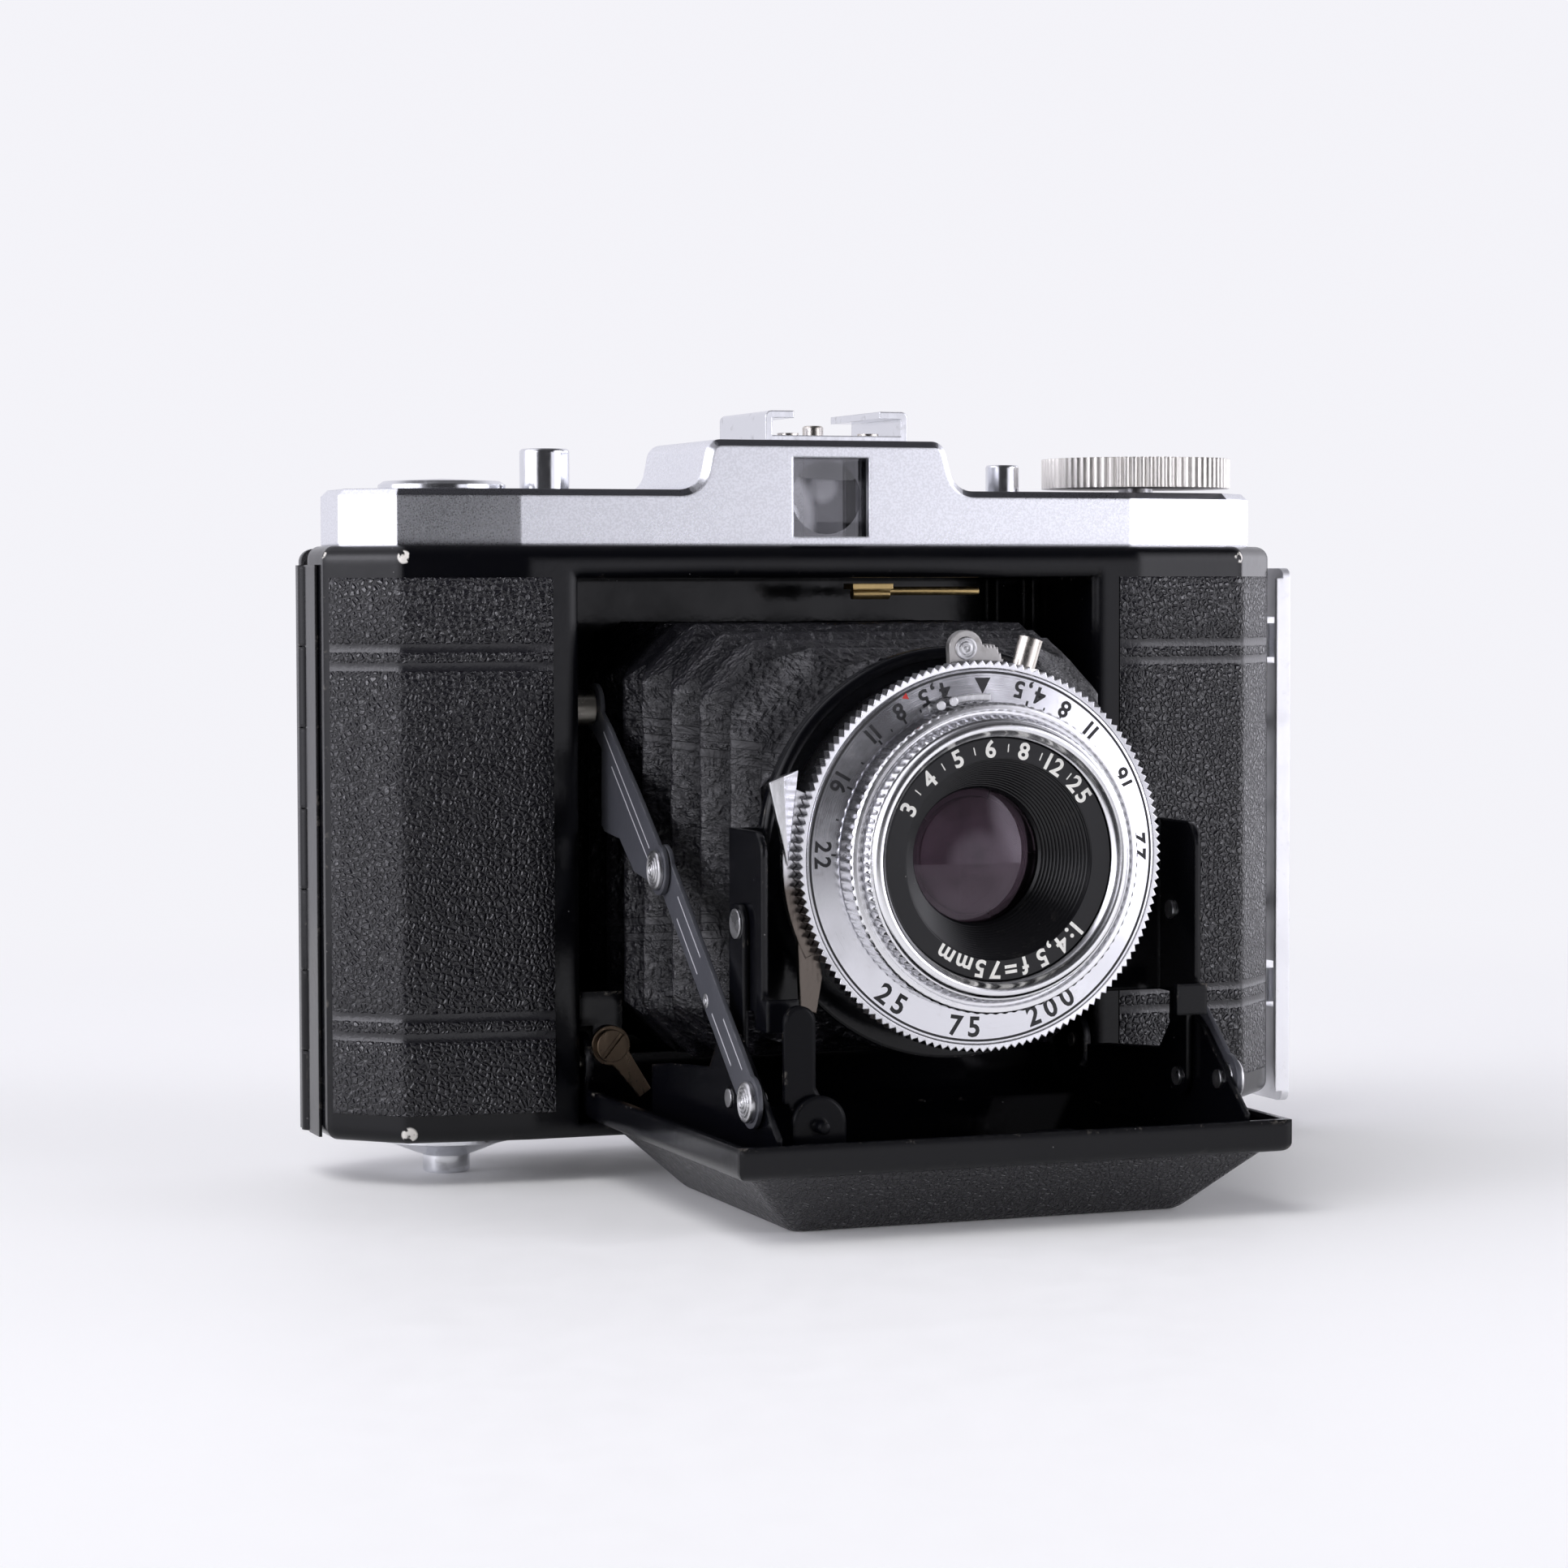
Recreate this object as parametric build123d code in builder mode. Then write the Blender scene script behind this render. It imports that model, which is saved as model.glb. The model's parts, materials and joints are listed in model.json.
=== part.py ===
from build123d import *
import os
from math import asin, cos, hypot, pi, radians, sin

# A folding roll-film camera, shown unfolded.  Millimetres.
# +X is the photographer's left when the lens is seen from the front (the winding knob side),
# +Y points to the film, +Z is up.  The origin is the mouth of the tripod socket.

# ---- Body shell --------------------------------------------------------------------------------
BODY_H = 80.2
FRONT_Y = -17.1
SPLIT_Y = 4.0
REAR_Y = 16.0
PART_GAP = 0.3
FACE_X = 45.0
SLANT_X = 62.1
SLANT_Y = -14.9
END_X = 70.7
END_Y = -6.4
EDGE_R = 1.8

RECESS_X = 38.0
RECESS_BOTTOM = 2.0
RECESS_TOP = 75.75
LIP_R = 1.4
BUSH_R = 3.7
BUSH_HOLE_R = 2.6
BUSH_LENGTH = 5.5
HINGE_PIN_R = 1.0
STUD_R = 1.3
WALL_HOLE_X = RECESS_X + 1.0

SPOOL_X = 52.4
SPOOL_R = 12.5
SPOOL_LENGTH = 66.0
CHAMBER_R = 13.2
CHAMBER_BOTTOM = 3.0
CHAMBER_TOP = 77.2

LEATHER_T = 0.4
LEATHER_BOTTOM = 3.85
LEATHER_TOP = 75.85
LEATHER_INNER_X = 41.85
LEATHER_OUTER_X = 70.0

# ---- Top housing and what stands on it ---------------------------------------------------------
HOUSING_FRONT_Y = -13.6
HOUSING_REAR_Y = 13.6
HOUSING_TOP = 87.85
HOUSING_T = 1.2
HUMP_TOP = 94.75
HUMP_LEFT = -19.0
HUMP_RIGHT = 17.6
BEVEL = 0.9
WINDOW_LEFT = -6.0
WINDOW_RIGHT = 5.2
WINDOW_BOTTOM = 81.45
WINDOW_TOP = 92.35

RELEASE_X = -37.7
RELEASE_R = 3.45
RELEASE_TOP = 93.65
OPENER_X = 31.2
OPENER_R = 2.4
OPENER_TOP = 91.95
BUTTON_CLEAR = 0.08
KNOB_R = 13.7
KNOB_BOTTOM = 88.65
KNOB_TOP = 92.95
KNOB_RIBS = 76
SHOE_X = 2.0
SHOE_TOP = 98.95
SHOE_HALF = 10.6
SHOE_LENGTH = 19.0
SHOE_T = 1.0

# ---- Lens axis, shutter and standard -----------------------------------------------------------
LENS_Z = 40.25
STANDARD_REAR = -54.6
STANDARD_FRONT = -56.1
STANDARD_R = 26.6
FLANGE_IN = 29.4
FLANGE_OUT = 30.2
CASE_R = 23.4
CASE_FRONT = -64.5
FACE_Y = -65.6
RING_R = 24.9
RING_IN = 23.95
RING_TEETH = 140
FOCUS_R = 19.7
RIM_R = 17.5
RIM_FRONT = -72.3
NAME_R = 15.4
GLASS_R = 9.0

POST_R = 1.55
POST_LEAN = 17.0
POST_LENGTH = 6.0
POST_REACH = 25.8
POST_X = POST_REACH * sin(radians(POST_LEAN))
POST_Y = -61.6
POST_FOOT_Z = LENS_Z + POST_REACH * cos(radians(POST_LEAN))
FACE_HOLE_R = 13.0

# ---- Folding linkage, as (y, z) points in the plane of the links -------------------------------
DOOR_HINGE = (-12.95, 9.95)
ARM_ROOT = (-59.6, 10.3)
ARM_TIP = (-59.6, 32.25)
STRUT_FOOT = (-69.6, 11.0)
STRUT_KNEE = (-36.7, 37.6)
STRUT_HEAD = (-9.6, 58.1)
ARM_X = (30.4, 31.1)
GUSSET_X = (31.4, 32.1)
LOWER_X = (32.4, 33.0)
UPPER_X = (33.2, 33.8)
PIN_CLEAR = 0.05

# ---- Release linkage, as (x, z) points ---------------------------------------------------------
EAR = (-25.4, 8.15)
PIVOT = (-33.7, 12.4)

# ---- Door --------------------------------------------------------------------------------------
DOOR_X = 37.4
DOOR_FRONT = -78.25
DOOR_T = 1.0
ROLL_R = 7.6
RIM_TOP = 6.53
BELLY_TOP_X = 34.5
BELLY_TOP_Y = (-75.6, -18.6)
BELLY_FLAT_X = 26.2
BELLY_FLAT_Y = (-67.0, -26.6)
BELLY_BOTTOM = -5.85
BELLY_T = 1.0

# ---- Film gate and bellows ---------------------------------------------------------------------
GATE = 56.0
FILM_Y = 11.4
GATE_REAR = 10.4
GATE_FRONT = 8.4
BELLOWS_REAR = 8.2
BELLOWS_BEND = -22.0
BELLOWS_FRONT = -54.3
BELLOWS_T = 1.0

# ---- Back cover --------------------------------------------------------------------------------
BACK_T = 1.4
BACK_HINGE = (-70.3, 4.15)
KNUCKLE_R = 1.4
KNUCKLES = 7
HINGE_BOTTOM = 0.15
HINGE_TOP = 77.65
GUIDE_HEIGHTS = (27.0, 54.0)
GUIDE_Y = 6.0
LATCH_TRAVEL = 5.0
LATCH_X = (74.2, 75.4)
LATCH_Y = (-4.6, 8.0)
LATCH_Z = (-1.7, 77.1)

FLOOR_Z = -5.85
LENS_AXIS = Axis((0, 0, LENS_Z), (0, 1, 0))
os.makedirs("parts", exist_ok=True)


def save(block, label):
    """Label a finished piece and write it."""
    block.part.label = label
    export_step(block.part, f"parts/{label}.step")


def both_sides(points):
    """A closed outline from its right-hand half, listed from the front to the rear."""
    return points + [(-x, y) for x, y in reversed(points)]


def offset_line(points, distance):
    """An open line moved sideways by a distance, to its right as it runs."""
    normals = []
    for (x0, y0), (x1, y1) in zip(points, points[1:]):
        run = hypot(x1 - x0, y1 - y0)
        normals.append(((y1 - y0) / run, (x0 - x1) / run))
    moved = []
    for i, (x, y) in enumerate(points):
        n0 = normals[max(i - 1, 0)]
        n1 = normals[min(i, len(normals) - 1)]
        share = distance / (1 + n0[0] * n1[0] + n0[1] * n1[1])
        moved.append((x + share * (n0[0] + n1[0]), y + share * (n0[1] + n1[1])))
    return moved


def lens_plane(y):
    """A plane square to the lens axis, facing the subject."""
    return Plane(origin=(0, y, LENS_Z), x_dir=(1, 0, 0), z_dir=(0, -1, 0))


def front_plane(y):
    """A plane parallel to XZ, facing the subject, with its origin on the floor of the body."""
    return Plane(origin=(0, y, 0), x_dir=(1, 0, 0), z_dir=(0, -1, 0))


def side_plane(x):
    """A plane parallel to YZ, facing +X."""
    return Plane.YZ.offset(x)


def turned(points):
    """A profile of (y, radius) points, as (y, z) points above the lens axis."""
    return [(y, LENS_Z + r) for y, r in points]


BODY_FRONT = [(FACE_X, FRONT_Y), (SLANT_X, SLANT_Y), (END_X, END_Y), (END_X, SPLIT_Y)]
BACK_LINE = [(END_X, SPLIT_Y + PART_GAP), (END_X, 7.6), (SLANT_X, 13.8), (FACE_X, REAR_Y)]
HOUSING_LINE = [(45.2, HOUSING_FRONT_Y), (61.7, -11.05), (68.2, -4.9)]
HOUSING_LINE += [(x, -y) for x, y in reversed(HOUSING_LINE)]

# ==== Body casting ==============================================================================
with BuildPart() as body_casting:
    with BuildSketch(Plane.XY):
        Polygon(*both_sides(BODY_FRONT), align=None)
    extrude(amount=BODY_H)
    outer = body_casting.edges().filter_by(lambda e: e.center().Y < SPLIT_Y - 1)
    caps = outer.group_by(Axis.Z)[0] + outer.group_by(Axis.Z)[-1]
    fillet(caps, radius=EDGE_R)
    with BuildSketch(front_plane(SPLIT_Y + 1)):
        with Locations((0, (RECESS_BOTTOM + RECESS_TOP) / 2)):
            Rectangle(2 * RECESS_X, RECESS_TOP - RECESS_BOTTOM)
    extrude(amount=SPLIT_Y + 1 - FRONT_Y + 1, mode=Mode.SUBTRACT)
    lips = body_casting.edges().filter_by(
        lambda e: abs(e.center().Y - FRONT_Y) < 0.01
        and abs(e.center().X) < RECESS_X + 0.1
        and e.center().Z > RECESS_BOTTOM + 1
        and e.center().Z < RECESS_TOP + 0.1
    )
    fillet(lips, radius=LIP_R)
    with BuildSketch(Plane.XY.offset(CHAMBER_BOTTOM)):
        for side in (-1, 1):
            with Locations((side * SPOOL_X, 0)):
                Circle(CHAMBER_R)
            with Locations((side * SPOOL_X, (SPLIT_Y + 1) / 2)):
                Rectangle(2 * CHAMBER_R, SPLIT_Y + 1)
    extrude(amount=CHAMBER_TOP - CHAMBER_BOTTOM, mode=Mode.SUBTRACT)
    # Holes for the spool pins, the winding shaft, the buttons' stems and the tripod bush.
    with Locations((-SPOOL_X, 0, 0), (SPOOL_X, 0, 0)):
        Cylinder(2.45, 3 * CHAMBER_BOTTOM, mode=Mode.SUBTRACT)
    with Locations((-SPOOL_X, 0, BODY_H), (SPOOL_X, 0, BODY_H)):
        Cylinder(3.2, 4 * CHAMBER_BOTTOM, mode=Mode.SUBTRACT)
    with BuildSketch(Plane.XY.offset(-RECESS_BOTTOM)):
        RegularPolygon(BUSH_R, 6, major_radius=False)
    extrude(amount=3 * RECESS_BOTTOM, mode=Mode.SUBTRACT)
    # Blind holes for the door's hinge pins and for the studs of the upper struts.
    with Locations((0, *DOOR_HINGE)):
        Cylinder(HINGE_PIN_R, 2 * WALL_HOLE_X, rotation=(0, 90, 0), mode=Mode.SUBTRACT)
    with Locations((0, *STRUT_HEAD)):
        Cylinder(STUD_R, 2 * WALL_HOLE_X, rotation=(0, 90, 0), mode=Mode.SUBTRACT)
    with Locations((BACK_HINGE[0], BACK_HINGE[1], BODY_H / 2)):
        Cylinder(KNUCKLE_R + 0.35, BODY_H + 2, mode=Mode.SUBTRACT)
    # Bracket of the transfer lever, standing in from the recess's left wall.
    with BuildSketch(front_plane(-14.4)):
        with Locations((-34.9, 17.4)):
            Rectangle(6.2, 4.6)
        with Locations((-33.9, 14.0)):
            Rectangle(4.0, 6.0)
    extrude(amount=1.0)
    with Locations((PIVOT[0], -15.0, PIVOT[1])):
        Cylinder(0.82, 4.0, rotation=(90, 0, 0), mode=Mode.SUBTRACT)
save(body_casting, "body_casting")


def leather_line(inner_x):
    """The front leather's outline on the right: flat face, slant and chamfer."""
    slope = (END_Y - SLANT_Y) / (END_X - SLANT_X)
    chamfer_end = (LEATHER_OUTER_X, END_Y - (END_X - LEATHER_OUTER_X) * slope)
    return [(inner_x, FRONT_Y), (FACE_X, FRONT_Y), (SLANT_X, SLANT_Y), chamfer_end]


with BuildPart() as front_leather:
    inner = leather_line(LEATHER_INNER_X)
    skin = inner + list(reversed(offset_line(inner, LEATHER_T)))
    with BuildSketch(Plane.XY.offset(LEATHER_BOTTOM)):
        Polygon(*skin, align=None)
    extrude(amount=LEATHER_TOP - LEATHER_BOTTOM)
    mirror(about=Plane.YZ)
save(front_leather, "front_leather")

# ==== Film gate =================================================================================
GATE_X = 33.5
WALL_X = RECESS_X - 0.1
ROLLER = (36.2, 8.9)
ROLLER_R = 2.0
ROLLER_AXLE_R = 0.8
LUG_BOTTOM = 7.6
LUG_TOP = 72.9
with BuildPart() as film_gate_frame:
    with BuildSketch(front_plane(GATE_REAR)):
        with Locations((0, (RECESS_BOTTOM + RECESS_TOP) / 2)):
            Rectangle(2 * GATE_X, RECESS_TOP - RECESS_BOTTOM - 0.2)
    extrude(amount=GATE_REAR - GATE_FRONT)
    with BuildSketch(front_plane(FILM_Y)):
        for height in (8.6, 71.9):
            with Locations((0, height)):
                Rectangle(2 * GATE_X, 3.0)
    extrude(amount=FILM_Y - GATE_REAR)
    with BuildSketch(Plane.XY.offset(RECESS_BOTTOM + 0.1)):
        for side in (-1, 1):
            with Locations((side * (GATE_X - 0.5), 6.7)):
                Rectangle(1.0, 3.4)
            with Locations((side * (GATE_X + WALL_X - 1.0) / 2, 5.5)):
                Rectangle(WALL_X - GATE_X + 1.0, 1.0)
            with Locations((side * (WALL_X - 0.5), 3.5)):
                Rectangle(1.0, 3.0)
    extrude(amount=RECESS_TOP - RECESS_BOTTOM - 0.2)
    with BuildSketch(Plane.XY.offset(RECESS_BOTTOM + 0.1)):
        for side in (-1, 1):
            with Locations((side * (GATE_X + WALL_X) / 2, 8.2)):
                Rectangle(WALL_X - GATE_X, 4.4)
    extrude(amount=LUG_BOTTOM - RECESS_BOTTOM - 0.1)
    with BuildSketch(Plane.XY.offset(LUG_TOP)):
        for side in (-1, 1):
            with Locations((side * (GATE_X + WALL_X) / 2, 8.2)):
                Rectangle(WALL_X - GATE_X, 4.4)
    extrude(amount=RECESS_TOP - 0.1 - LUG_TOP)
    for side in (-1, 1):
        with Locations((side * ROLLER[0], ROLLER[1], (LUG_BOTTOM + LUG_TOP) / 2)):
            Cylinder(ROLLER_AXLE_R + PIN_CLEAR, LUG_TOP - LUG_BOTTOM + 3.2, mode=Mode.SUBTRACT)
    with BuildSketch(front_plane(FILM_Y + 1)):
        with Locations((0, LENS_Z)):
            Rectangle(GATE, GATE)
    extrude(amount=6, mode=Mode.SUBTRACT)
save(film_gate_frame, "film_gate_frame")

for side, label in ((-1, "film_roller_left"), (1, "film_roller_right")):
    with BuildPart() as film_roller:
        with Locations((side * ROLLER[0], ROLLER[1], (LUG_BOTTOM + LUG_TOP) / 2)):
            Cylinder(ROLLER_R, LUG_TOP - LUG_BOTTOM - 0.6)
            Cylinder(ROLLER_AXLE_R, LUG_TOP - LUG_BOTTOM + 2.8)
    save(film_roller, label)

# ==== Bellows: a tapering leather box with cut corners, open at both ends =======================
BELLOWS_SECTIONS = (
    (BELLOWS_REAR, 31.6, 29.6),
    (BELLOWS_BEND, 31.6, 29.6),
    (BELLOWS_FRONT, 26.0, 25.5),
)


def cut_corner_box(half_x, half_z, corner):
    """A rectangle with its corners cut off, centred on the lens axis."""
    quarter = [(half_x - corner, -half_z), (half_x, corner - half_z)]
    quarter += [(half_x, half_z - corner), (half_x - corner, half_z)]
    Polygon(*both_sides(quarter), align=None)


with BuildPart() as bellows:
    for rear, front in zip(BELLOWS_SECTIONS, BELLOWS_SECTIONS[1:]):
        for y, half_x, half_z in (rear, front):
            with BuildSketch(lens_plane(y)):
                cut_corner_box(half_x, half_z, 6.0)
        loft(ruled=True)
    for rear, front in zip(BELLOWS_SECTIONS, BELLOWS_SECTIONS[1:]):
        for y, half_x, half_z in (rear, front):
            with BuildSketch(lens_plane(y)):
                cut_corner_box(half_x - BELLOWS_T, half_z - BELLOWS_T, 6.0 - BELLOWS_T / 2)
        loft(ruled=True, mode=Mode.SUBTRACT)
save(bellows, "bellows")

# ==== Top housing with the finder hump ==========================================================
with BuildPart() as top_housing:
    with BuildSketch(Plane.XY.offset(BODY_H)):
        Polygon(*both_sides(HOUSING_LINE), align=None)
    extrude(amount=HOUSING_TOP - BODY_H)
    with BuildSketch(front_plane(HOUSING_REAR_Y)) as hump:
        with BuildLine():
            Polyline(
                (-27, HOUSING_TOP - 2),
                (-27, HOUSING_TOP),
                (HUMP_LEFT - 0.6, HOUSING_TOP),
                (HUMP_LEFT + 0.8, HUMP_TOP),
                (HUMP_RIGHT - 1.0, HUMP_TOP),
                (HUMP_RIGHT + 0.9, HOUSING_TOP),
                (28, HOUSING_TOP),
                (28, HOUSING_TOP - 2),
                close=True,
            )
        make_face()
        feet = hump.vertices().filter_by(lambda v: abs(v.Y - HOUSING_TOP) < 0.01 and abs(v.X) < 25)
        fillet(feet, radius=3.4)
        fillet(hump.vertices().filter_by(lambda v: abs(v.Y - HUMP_TOP) < 0.01), radius=2.2)
    extrude(amount=HOUSING_REAR_Y - HOUSING_FRONT_Y)
    top_edges = top_housing.edges().filter_by(lambda e: e.center().Z > HOUSING_TOP - 0.01)
    flush = top_edges.filter_by(
        lambda e: abs(abs(e.center().Y) - HOUSING_REAR_Y) < 0.01
        or (abs(e.center().X) > FACE_X + 1)
    )
    chamfer(flush, length=BEVEL)
    with BuildSketch(Plane.XY.offset(BODY_H)):
        inner_line = offset_line(HOUSING_LINE, -HOUSING_T)
        Polygon(*both_sides(inner_line), align=None)
    extrude(amount=HOUSING_TOP - HOUSING_T - BODY_H, mode=Mode.SUBTRACT)
    with Locations(((HUMP_LEFT + HUMP_RIGHT) / 2, 0, BODY_H + (HUMP_TOP - HOUSING_T - BODY_H) / 2)):
        Box(
            HUMP_RIGHT - HUMP_LEFT - 5,
            HOUSING_REAR_Y - HOUSING_FRONT_Y - 2 * HOUSING_T,
            HUMP_TOP - HOUSING_T - BODY_H,
            mode=Mode.SUBTRACT,
        )
    window_x = (WINDOW_LEFT + WINDOW_RIGHT) / 2
    window_z = (WINDOW_BOTTOM + WINDOW_TOP) / 2
    with Locations((window_x, HOUSING_FRONT_Y, window_z)):
        Box(WINDOW_RIGHT - WINDOW_LEFT, 6, WINDOW_TOP - WINDOW_BOTTOM, mode=Mode.SUBTRACT)
    with Locations((window_x, HOUSING_REAR_Y, window_z)):
        Box(7.0, 6, 6.0, mode=Mode.SUBTRACT)
    with Locations((RELEASE_X, 0, HOUSING_TOP)):
        Cylinder(RELEASE_R + BUTTON_CLEAR, 6, mode=Mode.SUBTRACT)
    with Locations((OPENER_X, 0, HOUSING_TOP)):
        Cylinder(OPENER_R + BUTTON_CLEAR, 6, mode=Mode.SUBTRACT)
    with Locations((-SPOOL_X, 0, HOUSING_TOP), (SPOOL_X, 0, HOUSING_TOP)):
        Cylinder(3.2, 6, mode=Mode.SUBTRACT)
    # Seats of the shoe's four rivets and of its stop pin.
    with Locations((SHOE_X, 0, HUMP_TOP)):
        with GridLocations(12.0, 12.0, 2, 2):
            Cylinder(0.8, 6, mode=Mode.SUBTRACT)
        Cylinder(1.5, 6, mode=Mode.SUBTRACT)
save(top_housing, "top_housing")

# ==== Viewfinder ================================================================================
BARREL_T = 0.6
FINDER_FRONT_Y = HOUSING_FRONT_Y + HOUSING_T + 0.05
FINDER_REAR_Y = HOUSING_REAR_Y - HOUSING_T - 0.05
with BuildPart() as viewfinder_barrel:
    with Locations((window_x, (FINDER_FRONT_Y + FINDER_REAR_Y) / 2, window_z)):
        Box(
            WINDOW_RIGHT - WINDOW_LEFT + 2 * BARREL_T,
            FINDER_REAR_Y - FINDER_FRONT_Y,
            WINDOW_TOP - WINDOW_BOTTOM + 2 * BARREL_T,
        )
        Box(
            WINDOW_RIGHT - WINDOW_LEFT,
            FINDER_REAR_Y - FINDER_FRONT_Y,
            WINDOW_TOP - WINDOW_BOTTOM,
            mode=Mode.SUBTRACT,
        )
save(viewfinder_barrel, "viewfinder_barrel")

with BuildPart() as finder_lenses:
    with Locations((window_x, -10.0, window_z)):
        Box(WINDOW_RIGHT - WINDOW_LEFT - 0.1, 3.0, WINDOW_TOP - WINDOW_BOTTOM - 0.1)
    with Locations((window_x, -10.0 - 19.8, window_z)):
        Sphere(19.0, mode=Mode.SUBTRACT)
    with BuildSketch(front_plane(FINDER_REAR_Y - 0.2)):
        with Locations((window_x, window_z)):
            Rectangle(WINDOW_RIGHT - WINDOW_LEFT - 0.1, WINDOW_TOP - WINDOW_BOTTOM - 0.1)
            Circle(3.4, mode=Mode.SUBTRACT)
    extrude(amount=1.0)
    with Locations((window_x, FINDER_REAR_Y - 0.7, window_z)):
        Cylinder(3.4, 1.0, rotation=(90, 0, 0))
save(finder_lenses, "finder_lenses")

# ==== Accessory shoe ============================================================================
with BuildPart() as accessory_shoe:
    with BuildSketch(front_plane(SHOE_LENGTH / 2)) as section:
        with BuildLine():
            Polyline(
                (SHOE_X + SHOE_HALF, HUMP_TOP),
                (SHOE_X + SHOE_HALF, SHOE_TOP),
                (SHOE_X + SHOE_HALF - 4.2, SHOE_TOP),
                (SHOE_X + SHOE_HALF - 4.2, SHOE_TOP - SHOE_T),
                (SHOE_X + SHOE_HALF - SHOE_T, SHOE_TOP - SHOE_T),
                (SHOE_X + SHOE_HALF - SHOE_T, HUMP_TOP + 0.8),
                (SHOE_X - SHOE_HALF + SHOE_T, HUMP_TOP + 0.8),
                (SHOE_X - SHOE_HALF + SHOE_T, SHOE_TOP - SHOE_T),
                (SHOE_X - SHOE_HALF + 4.2, SHOE_TOP - SHOE_T),
                (SHOE_X - SHOE_HALF + 4.2, SHOE_TOP),
                (SHOE_X - SHOE_HALF, SHOE_TOP),
                (SHOE_X - SHOE_HALF, HUMP_TOP),
                close=True,
            )
        make_face()
        corners = section.vertices().filter_by(
            lambda v: abs(v.Y - SHOE_TOP) < 0.01 and abs(abs(v.X - SHOE_X) - SHOE_HALF) < 0.01
        )
        fillet(corners, radius=0.9)
    extrude(amount=SHOE_LENGTH)
    with Locations((SHOE_X, 0, HUMP_TOP)):
        with GridLocations(12.0, 12.0, 2, 2):
            Cylinder(0.82, 6, mode=Mode.SUBTRACT)
        Cylinder(1.52, 6, mode=Mode.SUBTRACT)
save(accessory_shoe, "accessory_shoe")

with BuildPart() as shoe_fasteners:
    with Locations((SHOE_X, 0, HUMP_TOP - HOUSING_T)):
        with GridLocations(12.0, 12.0, 2, 2):
            Cylinder(0.78, HOUSING_T + 0.8, align=(Align.CENTER, Align.CENTER, Align.MIN))
    with Locations((SHOE_X, 0, HUMP_TOP + 0.8)):
        with GridLocations(12.0, 12.0, 2, 2):
            Cylinder(1.5, 0.4, align=(Align.CENTER, Align.CENTER, Align.MIN))
    with Locations((SHOE_X, 0, HUMP_TOP - HOUSING_T)):
        Cylinder(1.48, HOUSING_T + 2.5, align=(Align.CENTER, Align.CENTER, Align.MIN))
    chamfer(shoe_fasteners.edges().group_by(Axis.Z)[-1], length=0.25)
save(shoe_fasteners, "shoe_fasteners")

# ==== Buttons, knob, discs and spool pins =======================================================
STEM_BOTTOM = 80.6
SPOOL_BOTTOM = 7.1
KEY_BOTTOM = 70.4
KEY_TOP = 73.9
with BuildPart() as release_button:
    with Locations((RELEASE_X, 0, STEM_BOTTOM + 3.2)):
        Cylinder(RELEASE_R, RELEASE_TOP - STEM_BOTTOM - 3.2, align=(Align.CENTER, Align.CENTER, Align.MIN))
    fillet(release_button.edges().group_by(Axis.Z)[-1], radius=0.5)
    with Locations((RELEASE_X, 0, RELEASE_TOP)):
        Cylinder(1.4, 6.0, mode=Mode.SUBTRACT)
save(release_button, "release_button")

with BuildPart() as door_release_button:
    with Locations((OPENER_X, 0, STEM_BOTTOM + 2.6)):
        Cylinder(OPENER_R, OPENER_TOP - STEM_BOTTOM - 2.6, align=(Align.CENTER, Align.CENTER, Align.MIN))
    fillet(door_release_button.edges().group_by(Axis.Z)[-1], radius=0.4)
save(door_release_button, "door_release_button")

with BuildPart() as winding_knob:
    rib_angle = 2 * pi / KNOB_RIBS
    crown = []
    for i in range(KNOB_RIBS):
        for share, radius in ((0.0, KNOB_R - 0.35), (0.28, KNOB_R), (0.62, KNOB_R)):
            angle = (i + share) * rib_angle
            crown.append((radius * cos(angle), radius * sin(angle)))
    with BuildSketch(Plane.XY.offset(KNOB_BOTTOM)):
        with Locations((SPOOL_X, 0)):
            Polygon(*crown, align=None)
    extrude(amount=KNOB_TOP - KNOB_BOTTOM)
    with Locations((SPOOL_X, 0, KNOB_TOP)):
        Cylinder(KNOB_R - 2.4, 0.8, mode=Mode.SUBTRACT)
    with Locations((SPOOL_X, 0, KNOB_BOTTOM)):
        Cylinder(2.52, 20, mode=Mode.SUBTRACT)
save(winding_knob, "winding_knob")

with BuildPart() as winding_shaft:
    with Locations((SPOOL_X, 0, KEY_TOP)):
        Cylinder(2.5, KNOB_TOP - 0.85 - KEY_TOP, align=(Align.CENTER, Align.CENTER, Align.MIN))
    with Locations((SPOOL_X, 0, KEY_BOTTOM)):
        Box(7.0, 1.4, KEY_TOP - KEY_BOTTOM, align=(Align.CENTER, Align.CENTER, Align.MIN))
save(winding_shaft, "winding_shaft")

with BuildPart() as take_up_spool:
    for height in (SPOOL_BOTTOM, SPOOL_BOTTOM + SPOOL_LENGTH - 1.0):
        with Locations((SPOOL_X, 0, height)):
            Cylinder(SPOOL_R, 1.0, align=(Align.CENTER, Align.CENTER, Align.MIN))
    with Locations((SPOOL_X, 0, SPOOL_BOTTOM)):
        Cylinder(5.9, SPOOL_LENGTH, align=(Align.CENTER, Align.CENTER, Align.MIN))
        Cylinder(2.65, 12, mode=Mode.SUBTRACT)
    # The slot that takes the film's paper leader, and the key's slot in the upper end.
    with Locations((SPOOL_X, 0, SPOOL_BOTTOM + SPOOL_LENGTH / 2)):
        Box(1.2, 14, 40, mode=Mode.SUBTRACT)
    with Locations((SPOOL_X, 0, SPOOL_BOTTOM + SPOOL_LENGTH)):
        Box(7.6, 1.8, 6.4, mode=Mode.SUBTRACT)
save(take_up_spool, "take_up_spool")

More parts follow.
